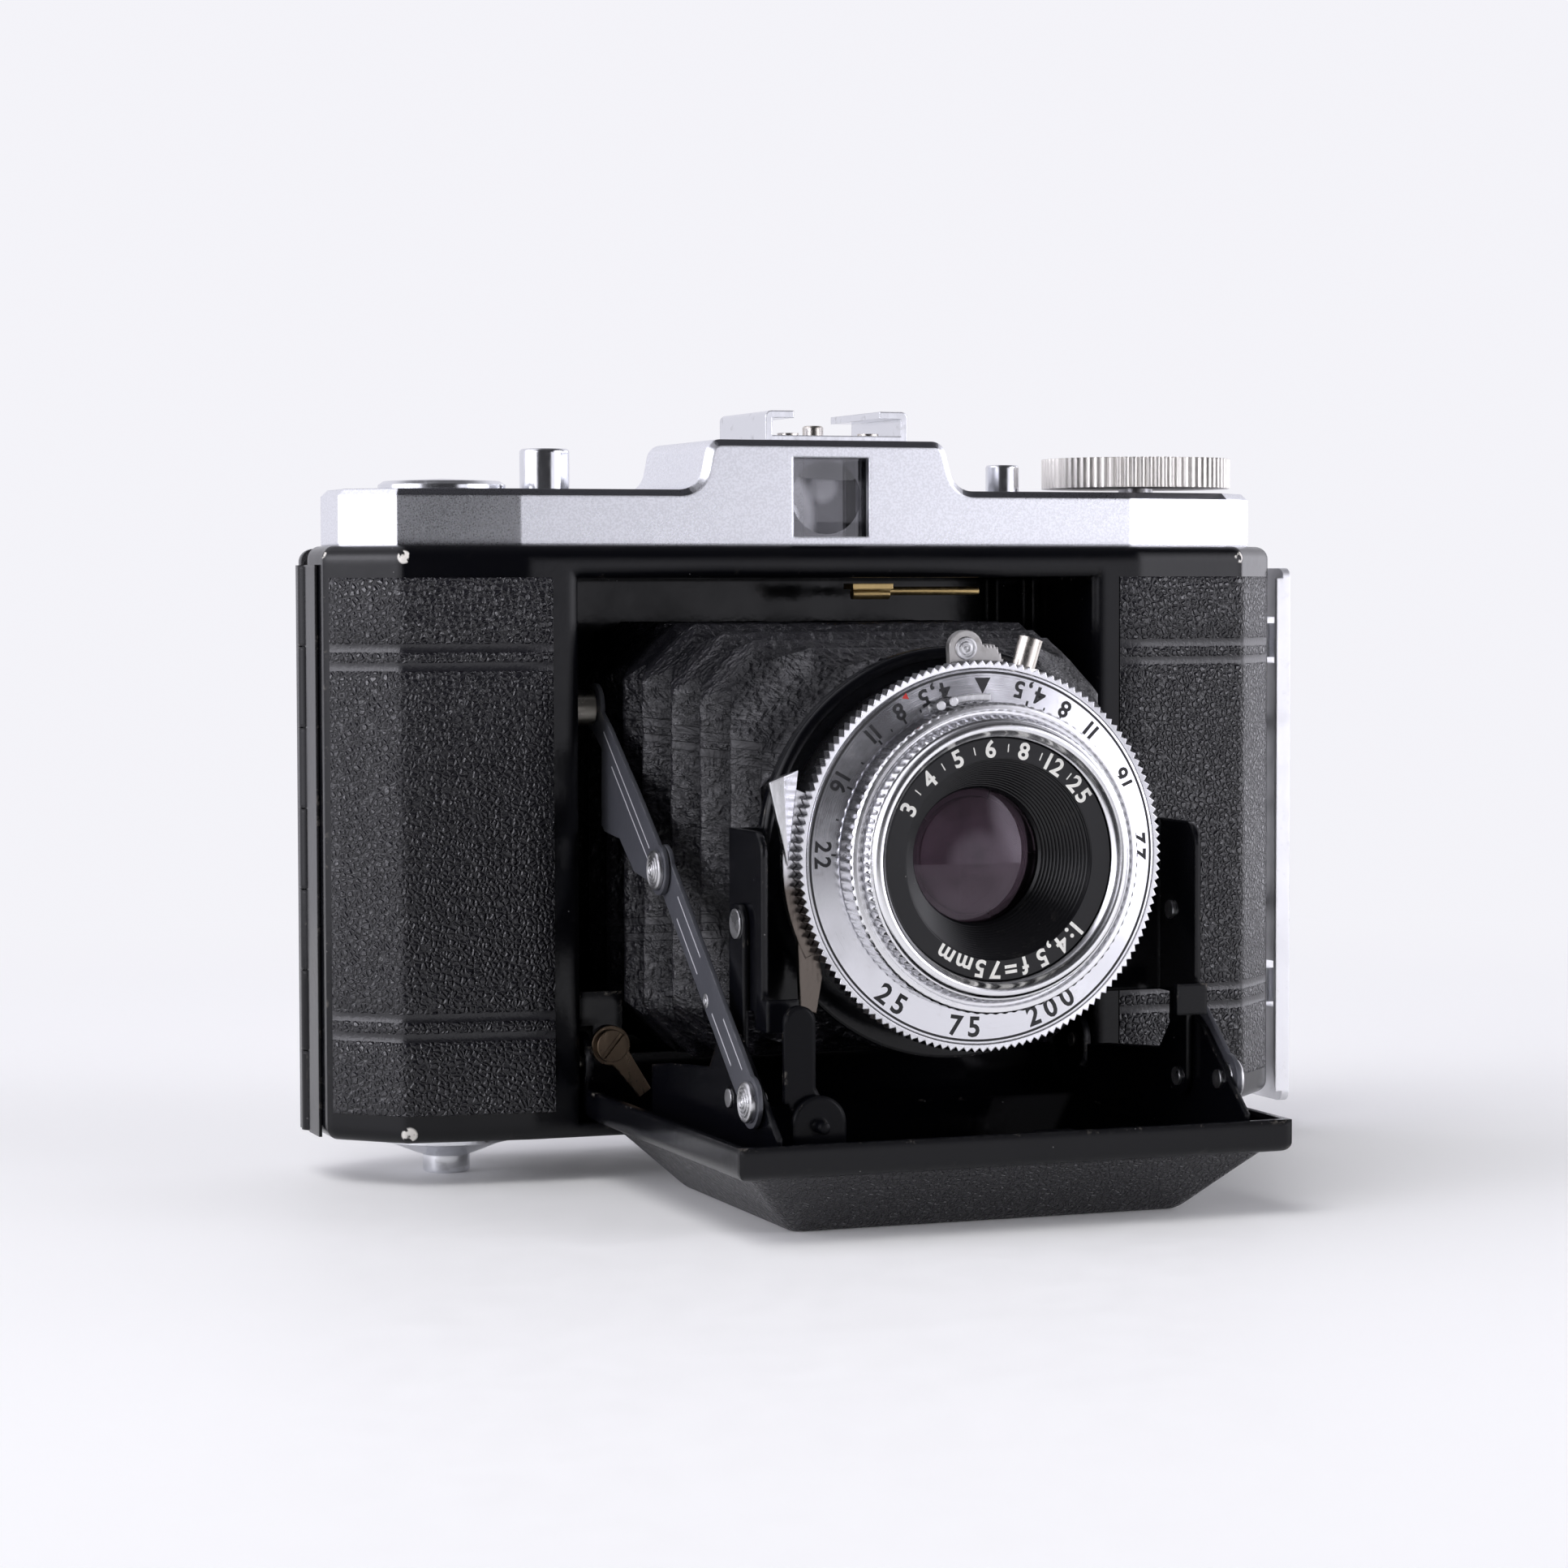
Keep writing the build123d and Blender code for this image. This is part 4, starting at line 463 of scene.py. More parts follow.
def turned_metal(name, colour, roughness=0.24, cone=0.0, grime=0.18):
    """Aluminium turned on a lathe: fine rings round the lens axis that stretch its reflections.

    cone dishes it by a few degrees, so that each part of it mirrors another part of the room."""
    look = Look(name, colour, metallic=1.0, roughness=roughness)
    look.set("Anisotropic", 0.75)
    tangent = look.add("Tangent", direction_type="RADIAL", axis="Y")
    look.set("Tangent", tangent.outputs[0])
    from_axis = look.vector("SUBTRACT", look.place, (0.0, 0.0, LENS_Z))
    across = look.stretched(1.0, 0.0, 1.0, from_axis)
    count = look.times(look.vector("LENGTH", across), 9000.0)
    rings = look.noise(1.0, 3.0, 0.7, look.add("CombineXYZ", {0: count}).outputs[0])
    smear = look.span(look.noise(120.0, 5.0, 0.6), 0.45, 0.8, 0.0, 0.15)
    turned = look.span(rings, 0.3, 0.7, roughness - 0.05, roughness + 0.07)
    look.set("Roughness", look.plus(turned, smear))
    dirty = look.span(look.noise(500.0, 5.0, 0.7), 0.58, 0.72)
    look.set("Base Color", look.mix(look.times(dirty, grime), colour, (0.30, 0.27, 0.22)))
    base = look.rounded(0.0002)
    if cone:
        lean = look.vector("MULTIPLY", look.vector("NORMALIZE", across), (cone, cone, cone))
        base = look.vector("NORMALIZE", look.vector("ADD", base, lean))
    look.set("Normal", look.bump(rings, 0.000003, base))
    return look


# The pressed bands of the leather panels: their middles above the body's foot, and half width.
BAND_HEIGHTS = (14.35, 17.0, 63.95, 66.45)
BAND_HALF = 0.62
# The bellows' depths along Y, and its folds.
BELLOWS_REAR = 8.2
BELLOWS_BEND = -22.0
BELLOWS_FRONT = -54.3
PLEATS = 8
PLEAT = (BELLOWS_REAR - BELLOWS_FRONT) / PLEATS
PLEAT_DEPTH = 2.3


def leather(name, bands=()):
    """Pebbled leathercloth: small domes with pits between them, and smooth pressed bands; the low ground between
    the domes is coloured near-black as painted shade.
    """
    look = Look(name, LEATHER, roughness=0.45)
    look.set("Specular IOR Level", 0.62)
    drift = look.noise(260.0, 2.0)
    bend = look.add("TexNoise", {"Vector": look.place, "Scale": 800.0}).outputs["Color"]
    inputs = {0: bend, 1: (0.0006, 0.0006, 0.0006), 2: look.place}
    moved = look.add("VectorMath", inputs, operation="MULTIPLY_ADD").outputs[0]
    creases = look.cells(1250.0, moved, "DISTANCE_TO_EDGE")
    pits = look.cells(1250.0 * 0.9, moved, "F1")
    bead = look.span(creases, 0.0, 0.30, 0.30, 1.0, smooth=True)
    pit = look.span(pits, 0.10, 0.30, 0.0, 1.0, smooth=True)
    height = look.times(bead, pit)
    if bands:
        level = look.axis("Z")
        smooth = None
        for middle in bands:
            away = look.gap(level, middle * MM)
            strip = look.span(away, (BAND_HALF + 0.08) * MM, (BAND_HALF - 0.08) * MM)
            smooth = strip if smooth is None else look.math("MAXIMUM", smooth, strip)
        height = look.times(height, look.span(smooth, 0.0, 1.0, 1.0, 0.06))
        height = look.plus(height, look.times(smooth, 0.35))
    fine = look.noise(5200.0, 3.0)
    height = look.plus(height, look.times(fine, 0.10))
    # Painted shade: the pits and low ground are coloured near-black, where shade falls between the domes.
    low = look.span(height, 0.05, 0.55)
    dome = look.mix(drift, LEATHER, shade(LEATHER, 1.3))
    look.set("Base Color", look.mix(low, (0.002, 0.002, 0.003), dome))
    look.set("Roughness", look.span(height, 0.1, 0.9, 0.46, 0.24))
    look.set("Normal", look.bump(height, 0.00030))
    return look


def bellows_leather():
    """Thin leather over card: fine creased grain, with two pairs of smooth pressed bands."""
    look = Look("bellows_leather", (0.012, 0.0117, 0.0145), roughness=0.44)
    look.set("Specular IOR Level", 0.45)
    grain = look.cells(1150.0, look.stretched(1.0, 1.3, 0.7), "SMOOTH_F1")
    crease = look.noise(650.0, 4.0, 0.65, look.stretched(1.0, 0.6, 1.6), 0.6)
    fine = look.noise(3800.0, 3.0)
    height = look.plus(look.times(grain, -0.5), look.times(crease, 0.9))
    height = look.plus(height, look.times(fine, 0.12))
    depth = look.axis("Y")
    smooth = None
    for level, slope in ((0.05525, -0.0935), (0.0286, 0.093)):
        back = -0.026 if level > LENS_Z else -0.022
        middle = look.plus(look.times(look.math("SUBTRACT", back, depth), slope), level)
        away = look.gap(look.axis("Z"), middle)
        strip = look.span(look.gap(away, 0.00105), 0.00058, 0.0005)
        smooth = strip if smooth is None else look.math("MAXIMUM", smooth, strip)
    height = look.times(height, look.span(smooth, 0.0, 1.0, 1.0, 0.15))
    height = look.math("SUBTRACT", height, look.times(smooth, 0.25))
    look.set("Roughness", look.span(height, 0.0, 0.5, 0.50, 0.25))
    # Painted light and shade: the folds' bottoms are coloured near-black and their ridges lighter. The bottoms are
    # also dull and the ridges glossier, as wear polishes them.
    along = look.math("DIVIDE", look.math("SUBTRACT", depth, BELLOWS_FRONT * MM), PLEAT * MM)
    ridge = look.gap(look.math("FRACT", along), 0.5)
    ridge_light_and_polish = look.span(look.plus(ridge, look.span(crease, 0.3, 0.7, -0.08, 0.08)), 0.12, 0.46)
    look.set("Specular IOR Level", look.span(ridge_light_and_polish, 0.0, 1.0, 0.24, 0.56))
    # Painted shade in the fold bottoms and painted light on the ridges, in the base colour.
    fold_light_and_shade = look.times(ridge_light_and_polish, look.span(crease, 0.35, 0.65))
    look.set("Base Color", look.mix(fold_light_and_shade, (0.003, 0.003, 0.0042), (0.013, 0.0125, 0.0155)))
    fold = look.noise(240.0, 3.0, 0.6, look.stretched(1.0, 0.8, 1.2), 0.8)
    look.set("Normal", look.bump(height, 0.00052, look.bump(fold, 0.0011)))
    return look


def painted(name, colour, roughness):
    """Satin lacquer with a fine texture and scuffed edges."""
    look = Look(name, colour, roughness=roughness)
    look.set("Metallic", 0.25)
    fine = look.noise(1600.0, 3.0)
    smear = look.noise(140.0, 5.0)
    look.set("Roughness", look.span(smear, 0.35, 0.7, roughness - 0.06, roughness + 0.1))
    patchy = look.span(look.noise(500.0, 4.0), 0.5, 0.62, 0.0, 0.2)
    worn = look.times(look.edges(0.00025), patchy)
    tint = look.mix(fine, colour, shade(colour, 1.2))
    look.set("Base Color", look.mix(worn, tint, (0.6, 0.6, 0.62)))
    look.set("Normal", look.bump(fine, 0.000012, look.rounded(0.0003)))
    return look


def coated_glass(name, mirrored, tint, share):
    """Thin coated glass: it tints what is behind it and mirrors a small share of the room."""
    look = Look(name, mirrored, metallic=1.0, roughness=0.03)
    dust = look.span(look.cells(420.0, feature="F1"), 0.045, 0.02)
    look.set("Roughness", look.span(dust, 0.0, 1.0, 0.03, 0.4))
    clear = look.add("BsdfTransparent", {0: (*tint, 1.0)}).outputs[0]
    smear = look.span(look.noise(150.0, 4.0), 0.3, 0.7, 0.8 * share, 1.2 * share)
    look.blend(smear, clear, look.shader.outputs[0])
    return look


# Chips in the casting's enamel: their places, and their sizes in millimetres.
CHIPS = (
    ((-0.0619, -0.0152, 0.0787), 1.1),
    ((0.0619, -0.0152, 0.0787), 1.0),
    ((-0.0617, -0.0152, 0.0012), 1.3),
    ((0.0622, -0.0150, 0.0010), 0.8),
    ((-0.0705, -0.0060, 0.0790), 0.7),
)
FINISHES = (
    satin_chrome("satin_chrome", (0.86, 0.87, 0.91)),
    plated("bright_chrome", (0.80, 0.81, 0.84), 0.10),
    plated("nickel", (0.70, 0.66, 0.60), 0.22, 0.9, 0.35),
    plated("lever_nickel", (0.74, 0.74, 0.76), 0.12, 1.0, 0.25, dark_below=0.0385),
    plated("bronze", (0.155, 0.115, 0.080), 0.24, 1.0, 0.5),
    plated("pin_steel", (0.52, 0.49, 0.43), 0.25, 0.8, 0.3),
    enamel("black_cast", chips=CHIPS, radius=0.0016),
    enamel("door_enamel", wear=0.45, radius=0.0014),
    enamel("black_enamel", wear=0.35),
    enamel("dull_enamel", gloss=0.14, wear=0.4, radius=0.0008, shine=0.12),
    painted("strut_grey", (0.062, 0.064, 0.075), 0.36),
    leather("body_leather", BAND_HEIGHTS),
    leather("plain_leather"),
    bellows_leather(),
    turned_metal("face_metal", (0.80, 0.80, 0.83)),
    turned_metal("dished_metal", (0.78, 0.78, 0.82), 0.17, cone=0.12),
    turned_metal("rim_metal", (0.84, 0.84, 0.86), 0.19, grime=0.06),
    enamel("lens_black", (0.006, 0.006, 0.007), 0.16, 0.2, radius=0.0001, shine=0.33),
    plated("brass", (0.60, 0.44, 0.20), 0.28, 1.0, 0.4),
    plated("knob_nickel", (0.80, 0.775, 0.735), 0.33, 0.6, 0.25),
    plated("latch_chrome", (0.93, 0.93, 0.95), 0.5, 0.4, 0.1),
    plated("lug_steel", (0.42, 0.41, 0.40), 0.30, 1.0, 0.3),
    Look("dark_blades", (0.045, 0.040, 0.046), metallic=1.0, roughness=0.30),
    plated("steel", (0.62, 0.62, 0.63), 0.25, 0.8, 0.15),
    coated_glass("glass", (0.96, 0.86, 0.97), (0.72, 0.66, 0.69), 0.036),
    coated_glass("clear_glass", (0.95, 0.95, 1.0), (0.92, 0.92, 0.93), 0.09),
    Look("red_plastic", (0.45, 0.004, 0.004), roughness=0.12),
    enamel("spool_black", (0.012, 0.012, 0.012), 0.35, 0.3),
    Look("ink", (0.010, 0.010, 0.012), roughness=0.5),
    Look("white_paint", CREAM, roughness=0.5),
    Look("red_paint", (0.5, 0.02, 0.015), roughness=0.4),
    Look("line_white", (0.62, 0.62, 0.65), roughness=0.35, metallic=0.4),
)
LOOKS = {look.name: look for look in FINISHES}
for name in ("ink", "white_paint", "red_paint", "line_white", "red_plastic"):
    look = LOOKS[name]
    speck = look.noise(2600.0, 3.0)
    base = tuple(look.shader.inputs["Base Color"].default_value)[:3]
    patchy = look.span(speck, 0.55, 0.75, 0.0, 0.45)
    look.set("Base Color", look.mix(patchy, base, shade(base, 0.6)))
    look.set("Normal", look.bump(speck, 0.00001))
LOOKS["red_plastic"].set("Transmission Weight", 0.6)

# The nodes whose finish differs from the one that their slot in the record names.
SPECIAL = {
    "face_plate": "dished_metal",
    "folding_pivot_pins": "pin_steel",
    "winding_knob": "knob_nickel",
    "back_latch": "latch_chrome",
    "transfer_lever": "bronze",
    "transfer_screw": "bronze",
    "finder_lenses": "clear_glass",
    "door": "door_enamel",
    "release_ear": "dull_enamel",
    "upright_lever": "dull_enamel",
    "shutter_and_iris_blades": "dark_blades",
    "aperture_pointer": "steel",
}


def dress_nodes():
    """Each CAD node takes the finish of its slot in the record, or its own."""
    slots = {part["node"]: part["material_slot"] for part in frame["record"]["subparts"]}
    for name, node in NODES.items():
        look = LOOKS[SPECIAL.get(name, slots[name])]
        for place in node.material_slots:
            place.link = "DATA"
        node.data.materials.clear()
        node.data.materials.append(look.material)
        node.data.set_sharp_from_angle(angle=radians(28.0))
        node.data.polygons.foreach_set("use_smooth", [True] * len(node.data.polygons))


# ---- Leather skins ----
def runs(stops, step):
    """The stops with points added so that no gap is longer than a step."""
    out = [stops[0]]
    for low, high in zip(stops, stops[1:]):
        count = max(1, round((high - low) / step))
        out += [low + (high - low) * i / count for i in range(1, count + 1)]
    return out


def rounded_path(points, radius, step):
    """Points and outward normals along a polyline with rounded corners, outward on its right."""
    path = []
    count = len(points)
    for i in range(count - 1):
        start, end = Vector(points[i]), Vector(points[i + 1])
        along = (end - start).normalized()
        out = Vector((along.y, -along.x))
        low = 0.0 if i == 0 else radius
        high = (end - start).length - (0.0 if i == count - 2 else radius)
        for s in runs([low, high], step):
            path.append((start + along * s, out))
        if i < count - 2:
            after = (Vector(points[i + 2]) - end).normalized()
            next_out = Vector((after.y, -after.x))
            leave, enter = end - along * radius, end + after * radius
            for share in (0.25, 0.5, 0.75):
                corner = leave * (1 - share) ** 2 + end * 2 * share * (1 - share) + enter * share**2
                path.append((corner, (out * (1 - share) + next_out * share).normalized()))
    return path


SKIN_T = 0.4
SKIN_BOTTOM = 3.85
SKIN_TOP = 75.85


def skin_relief(z):
    """How far the leather stands proud at a height: bands pressed in, edges rolled down."""
    relief = SKIN_T
    for middle in BAND_HEIGHTS:
        away = abs(z - middle)
        if away < BAND_HALF + 0.14:
            relief = SKIN_T - 0.12 * min(1.0, (BAND_HALF + 0.14 - away) / 0.2)
    edge = min(z - SKIN_BOTTOM, SKIN_TOP - z)
    return relief * (0.45 + 0.55 * min(1.0, sqrt(max(edge, 0.0) / 0.35)))


def skin(name, points, body, replaced=(), hole=None):
    """A leather panel glued round a shell: its outline seen from above, outward on the right."""
    path = rounded_path([Vector(p) for p in points], 0.7, 1.6)
    stops = [SKIN_BOTTOM, SKIN_BOTTOM + 0.12, SKIN_BOTTOM + 0.35]
    for middle in BAND_HEIGHTS:
        stops += [middle - BAND_HALF - 0.14, middle - BAND_HALF + 0.06]
        stops += [middle + BAND_HALF - 0.06, middle + BAND_HALF + 0.14]
    stops += [SKIN_TOP - 0.35, SKIN_TOP - 0.12, SKIN_TOP]
    levels = runs(sorted(stops), 2.4)
    total = len(path)
    travelled = [0.0]
    for (a, _), (b, _) in zip(path, path[1:]):
        travelled.append(travelled[-1] + (b - a).length)
    verts, faces = [], []
    for layer in (0, 1):
        for (spot, out), distance in zip(path, travelled):
            edge = min(distance, travelled[-1] - distance)
            for z in levels:
                height = 0.02
                if layer:
                    roll = 0.45 + 0.55 * min(1.0, sqrt(edge / 0.35))
                    height = max(0.06, min(skin_relief(z), SKIN_T * roll))
                place = spot + out * height
                verts.append(Vector((place.x, place.y, z)) * MM)
    rows = len(levels)

    layer_size = total * rows
    kept = set()
    for i in range(total - 1):
        for k in range(rows - 1):
            middle = (path[i][0] + path[i + 1][0]) / 2
            if hole and hole(middle.x, middle.y, (levels[k] + levels[k + 1]) / 2):
                continue
            kept.add((i, k))
            a, b = i * rows + k, (i + 1) * rows + k
            c, d = b + 1, a + 1
            faces.append((a, b, c, d))
            faces.append(tuple(layer_size + v for v in (d, c, b, a)))
    for i, k in kept:
        sides = (((i - 1, k), (i, k), (i, k + 1)), ((i + 1, k), (i + 1, k), (i + 1, k + 1)),
                 ((i, k - 1), (i, k), (i + 1, k)), ((i, k + 1), (i, k + 1), (i + 1, k + 1)))
        for neighbour, (i0, k0), (i1, k1) in sides:
            if neighbour not in kept:
                a, b = i0 * rows + k0, i1 * rows + k1
                faces.append((a, b, layer_size + b, layer_size + a))
    piece = mesh_piece(name, verts, faces, LOOKS["body_leather"], 35.0)
    on_body(piece, body, "body_leather", *replaced)


FRONT_LINE = [(41.85, -17.1), (45.0, -17.1), (62.1, -14.9), (70.0, -7.092)]


def make_front_leather():
    left = [(-x, y) for x, y in reversed(FRONT_LINE)]
    skin("front_leather_right", FRONT_LINE, "camera_body", ("front_leather",))
    skin("front_leather_left", left, "camera_body")


def make_back_leather():
    half = [(69.4, 8.8), (62.1, 13.8), (45.0, 16.0)]
    line = half + [(0.0, 16.0)] + [(-x, y) for x, y in reversed(half)]
    centre_z = LENS_Z / MM

    def hole(x, y, z):
        """Whether a point lies under the window's frame or under one of the slide's rails."""
        if y < 15.9:
            return False
        if hypot(x, z - centre_z) < 7.9:
            return True
        return abs(abs(x) - 6.4) < 1.0 and abs(z - centre_z - 6.5) < 8.9

    skin("back_cover_leather", line, "back", ("back_leather",), hole)


def rounded_box_ring(half_x, front, rear, radius, z, steps=5):
    """A rectangle with rounded corners at a height, as points going round."""
    ring = []
    corners = ((half_x - radius, rear - radius, 0), (-half_x + radius, rear - radius, 90),
               (-half_x + radius, front + radius, 180), (half_x - radius, front + radius, 270))
    for x, y, start in corners:
        for i in range(steps + 1):
            turn = radians(start + 90 * i / steps)
            ring.append(Vector((x + radius * cos(turn), y + radius * sin(turn), z)) * MM)
    return ring


def ring_faces(rings, count, start=0):
    """Quads between closed rings of points that follow one another, from a vertex number on."""
    faces = []
    for r in range(rings - 1):
        low, high = start + r * count, start + (r + 1) * count
        for i in range(count):
            j = (i + 1) % count
            faces.append((low + i, low + j, high + j, high + i))
    return faces


def loft_rings(rings):
    """Vertices and faces of a closed loft through rings, with its first and last ring filled."""
    count = len(rings[0])
    verts = [v for ring in rings for v in ring]
    faces = [tuple(range(count)), tuple(range(len(verts) - 1, len(verts) - count - 1, -1))]
    return verts, faces + ring_faces(len(rings), count)


def make_door_leather():
    """The leather under the door: a pan with sloping sides and a flat bottom it stands on."""
    low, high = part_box("door_leather")
    half_x = high[0] / MM
    front, rear = low[1] / MM, high[1] / MM
    top, bottom = high[2] / MM, low[2] / MM
    slope = 8.15
    depth = top - bottom

    def section(share, lift, inward=0.0):
        shift = slope * share + inward
        return rounded_box_ring(half_x - shift, front + shift, rear - shift, 1.6, lift)

    outer = [section(0.0, top, 0.3), section(0.005, top - 0.1), section(0.3, top - 0.3 * depth)]
    outer += [section(0.62, top - 0.62 * depth), section(0.90, top - 0.90 * depth)]
    outer += [section(0.955, top - 0.950 * depth, 0.02), section(0.99, top - 0.982 * depth, 0.12)]
    outer += [section(1.02, bottom + 0.03, 0.35), section(1.06, bottom, 0.7)]
    inner = [section(1.04, bottom + 0.36, 0.5), section(0.94, top - 0.90 * depth, 0.36)]
    inner.append(section(0.02, top - 0.1, 0.36))
    verts, faces = loft_rings(outer)
    count = len(outer[0])
    faces = faces[1:]
    base = len(verts)
    verts += [v for ring in inner for v in ring]
    faces += ring_faces(len(inner), count, base)
    for i in range(count):
        j = (i + 1) % count
        faces.append((i, j, base + 2 * count + j, base + 2 * count + i))
    faces.append(tuple(base + i for i in range(count)))
    piece = mesh_piece("door_belly_leather", verts, faces, LOOKS["plain_leather"], 40.0)
    on_body(piece, "door", "body_leather", "door_leather")


# ---- Bellows ----
def bellows_half(y):
    """The bellows' outer half width and half height at a depth."""
    share = min(1.0, max(0.0, (BELLOWS_BEND - y) / (BELLOWS_BEND - BELLOWS_FRONT)))
    return 31.5 + (25.9 - 31.5) * share, 29.5 + (25.4 - 29.5) * share


def make_bellows():
    """Leather in pleats: flat panels between sharp ridges, their corners folded the other way."""
    rings = []
    # Depths within a pleat, as shares of its pitch, and how far the wall is drawn in there.
    fold = ((0.0, 0.0), (0.035, 0.02), (0.10, 0.20), (0.30, 0.62), (0.45, 0.93), (0.50, 1.0),
            (0.55, 0.93), (0.70, 0.62), (0.90, 0.20), (0.965, 0.02))
    depths = []
    for n in range(PLEATS):
        depths += [(BELLOWS_FRONT + (n + share) * PLEAT, drawn) for share, drawn in fold]
    depths.append((BELLOWS_REAR, 0.0))
    for y, drawn in depths:
        half_x, half_z = bellows_half(y)
        half_x -= PLEAT_DEPTH * drawn
        half_z -= PLEAT_DEPTH * drawn
        cut = 7.6 - 4.6 * drawn + 9.0 * min(1.0, max(0.0, (-41.0 - y) / 13.0))
        # The eight corners of the section, going round.
        points = []
        for k, (sx, sz) in enumerate(((1, 1), (-1, 1), (-1, -1), (1, -1))):
            pair = [(sx * half_x, sz * (half_z - cut)), (sx * (half_x - cut), sz * half_z)]
            points += [Vector(p) for p in (reversed(pair) if k % 2 else pair)]
        ring = []
        for k in (0, 2, 4, 6):
            first, second, onward = points[k], points[k + 1], points[(k + 2) % 8]
            ring += [first.lerp(second, share) for share in (0.0, 0.06, 0.25, 0.5, 0.75, 0.94)]
            ring += [second.lerp(onward, i / 26) for i in range(26)]
        rings.append([Vector((p.x, y, p.y + LENS_Z / MM)) for p in ring])
    # The front end is glued flat to the lens standard.
    centre = Vector((0.0, BELLOWS_FRONT, LENS_Z / MM))
    rings.insert(0, [centre.lerp(p, 0.72) for p in rings[0]])
    count = len(rings[0])
    points = [point for ring in rings for point in ring]
    outer = len(points)
    outward = [Vector((p.x, 0.0, p.z - LENS_Z / MM)).normalized() for p in points]
    verts = []
    for point, away in zip(points, outward):
        wrinkle = noise.noise(Vector((point.x * 0.55, point.y * 0.9, point.z * 0.55)))
        sag = noise.noise(Vector((point.x * 0.12, point.y * 0.35 + 7.0, point.z * 0.12)))
        verts.append((point - away * (0.10 + 0.10 * wrinkle + 0.22 * abs(sag))) * MM)
    verts += [(point - away) * MM for point, away in zip(points, outward)]
    faces = ring_faces(len(rings), count)
    faces += [tuple(reversed(face)) for face in ring_faces(len(rings), count, outer)]
    last = (len(rings) - 1) * count
    for i in range(count):
        j = (i + 1) % count
        faces.append((i, j, outer + j, outer + i))
        faces.append((last + i, last + j, outer + last + j, outer + last + i))
    piece = mesh_piece("pleated_bellows", verts, faces, LOOKS["bellows_leather"], 50.0)
    on_body(piece, "camera_body", "bellows_leather", "bellows")
    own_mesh(piece)


# ---- Lens ----
TO_SUBJECT = (0, -1, 0)


def lens_lathe(name, profile, look, body, slot, replaced, **settings):
    """A ring turned round the lens axis from (y, radius) points in millimetres."""
    points = [(-y, r) for y, r in profile]
    piece = lathe(name, points, Vector((0, 0, LENS_Z)), TO_SUBJECT, look, **settings)
    return on_body(piece, body, slot, *replaced)


def make_lens_rings():
    steps = 6 * 96

    def knurl(depth):
        return lambda i: -depth * MM * (0.0, 0.25, 0.8, 1.0, 0.8, 0.25)[i % 6]

    profile = [(-66.05, 15.5), (-66.05, 19.55), (-66.2, 19.7), (-69.75, 19.7), (-70.05, 19.4)]
    profile += [(-70.15, 18.9), (-70.15, 18.75)]
    profile += [(-69.55, 18.65), (-69.55, 18.25), (-70.35, 18.15), (-70.55, 18.0), (-71.2, 17.9)]
    profile += [(-71.45, 17.7), (-71.55, 17.45), (-71.9, 17.35), (-72.15, 17.1), (-72.3, 16.75)]
    profile += [(-72.3, 16.45), (-72.2, 16.25)]
    profile += [(-71.7, 15.95), (-71.15, 15.65), (-71.0, 15.45), (-66.05, 15.45)]
    teeth = {n: knurl(0.14) for n in (2, 3)}
    teeth.update({n: knurl(0.20) for n in (9, 10, 11)})
    lens_lathe("focusing_ring", profile, LOOKS["rim_metal"], "focus", "face_metal", ("focus_ring",),
               steps=steps, closed=True, teeth=teeth, angle=32.0)
    funnel = [(-66.1, 10.4), (-66.1, 15.35), (-70.75, 15.35), (-70.9, 15.2)]
    funnel += [(-70.9, 12.75), (-70.8, 12.6)]
    grooves = 14
    wide, narrow = 12.55, 8.8
    for i in range(grooves):
        low = wide - (wide - narrow) * i / grooves
        high = wide - (wide - narrow) * (i + 0.5) / grooves
        y = -70.6 + 7.0 * i / grooves
        funnel += [(y, low), (y + 0.03, high), (y + 0.36, high + 0.02)]
    funnel += [(-63.4, 8.62), (-62.6, 8.6), (-62.6, 10.2), (-66.1, 10.4)]
    lens_lathe("name_ring", funnel, LOOKS["lens_black"], "focus", "lens_black", ("lens_name_ring",),
               steps=192, closed=True, angle=25.0)
    across = (0.0, 1.0, 2.0, 3.0, 4.0, 5.0, 6.0, 7.0, 7.8, 8.4)
    front = [(-64.3 + 1.0 * (r / 8.6) ** 2, r) for r in across]
    rear = [(-62.9 + 0.35 * (r / 8.6) ** 2, r) for r in (8.4, 7.8, 6.0, 4.0, 2.0, 0.0)]
    glass = front + [(-63.3, 8.58), (-62.7, 8.58)] + rear
    lens_lathe("front_glass", glass, LOOKS["glass"], "focus", "glass", ("front_lens_glass",),
               steps=96, angle=25.0)


# How far the numbers and marks stand out.
MARK_DEPTH = 0.05


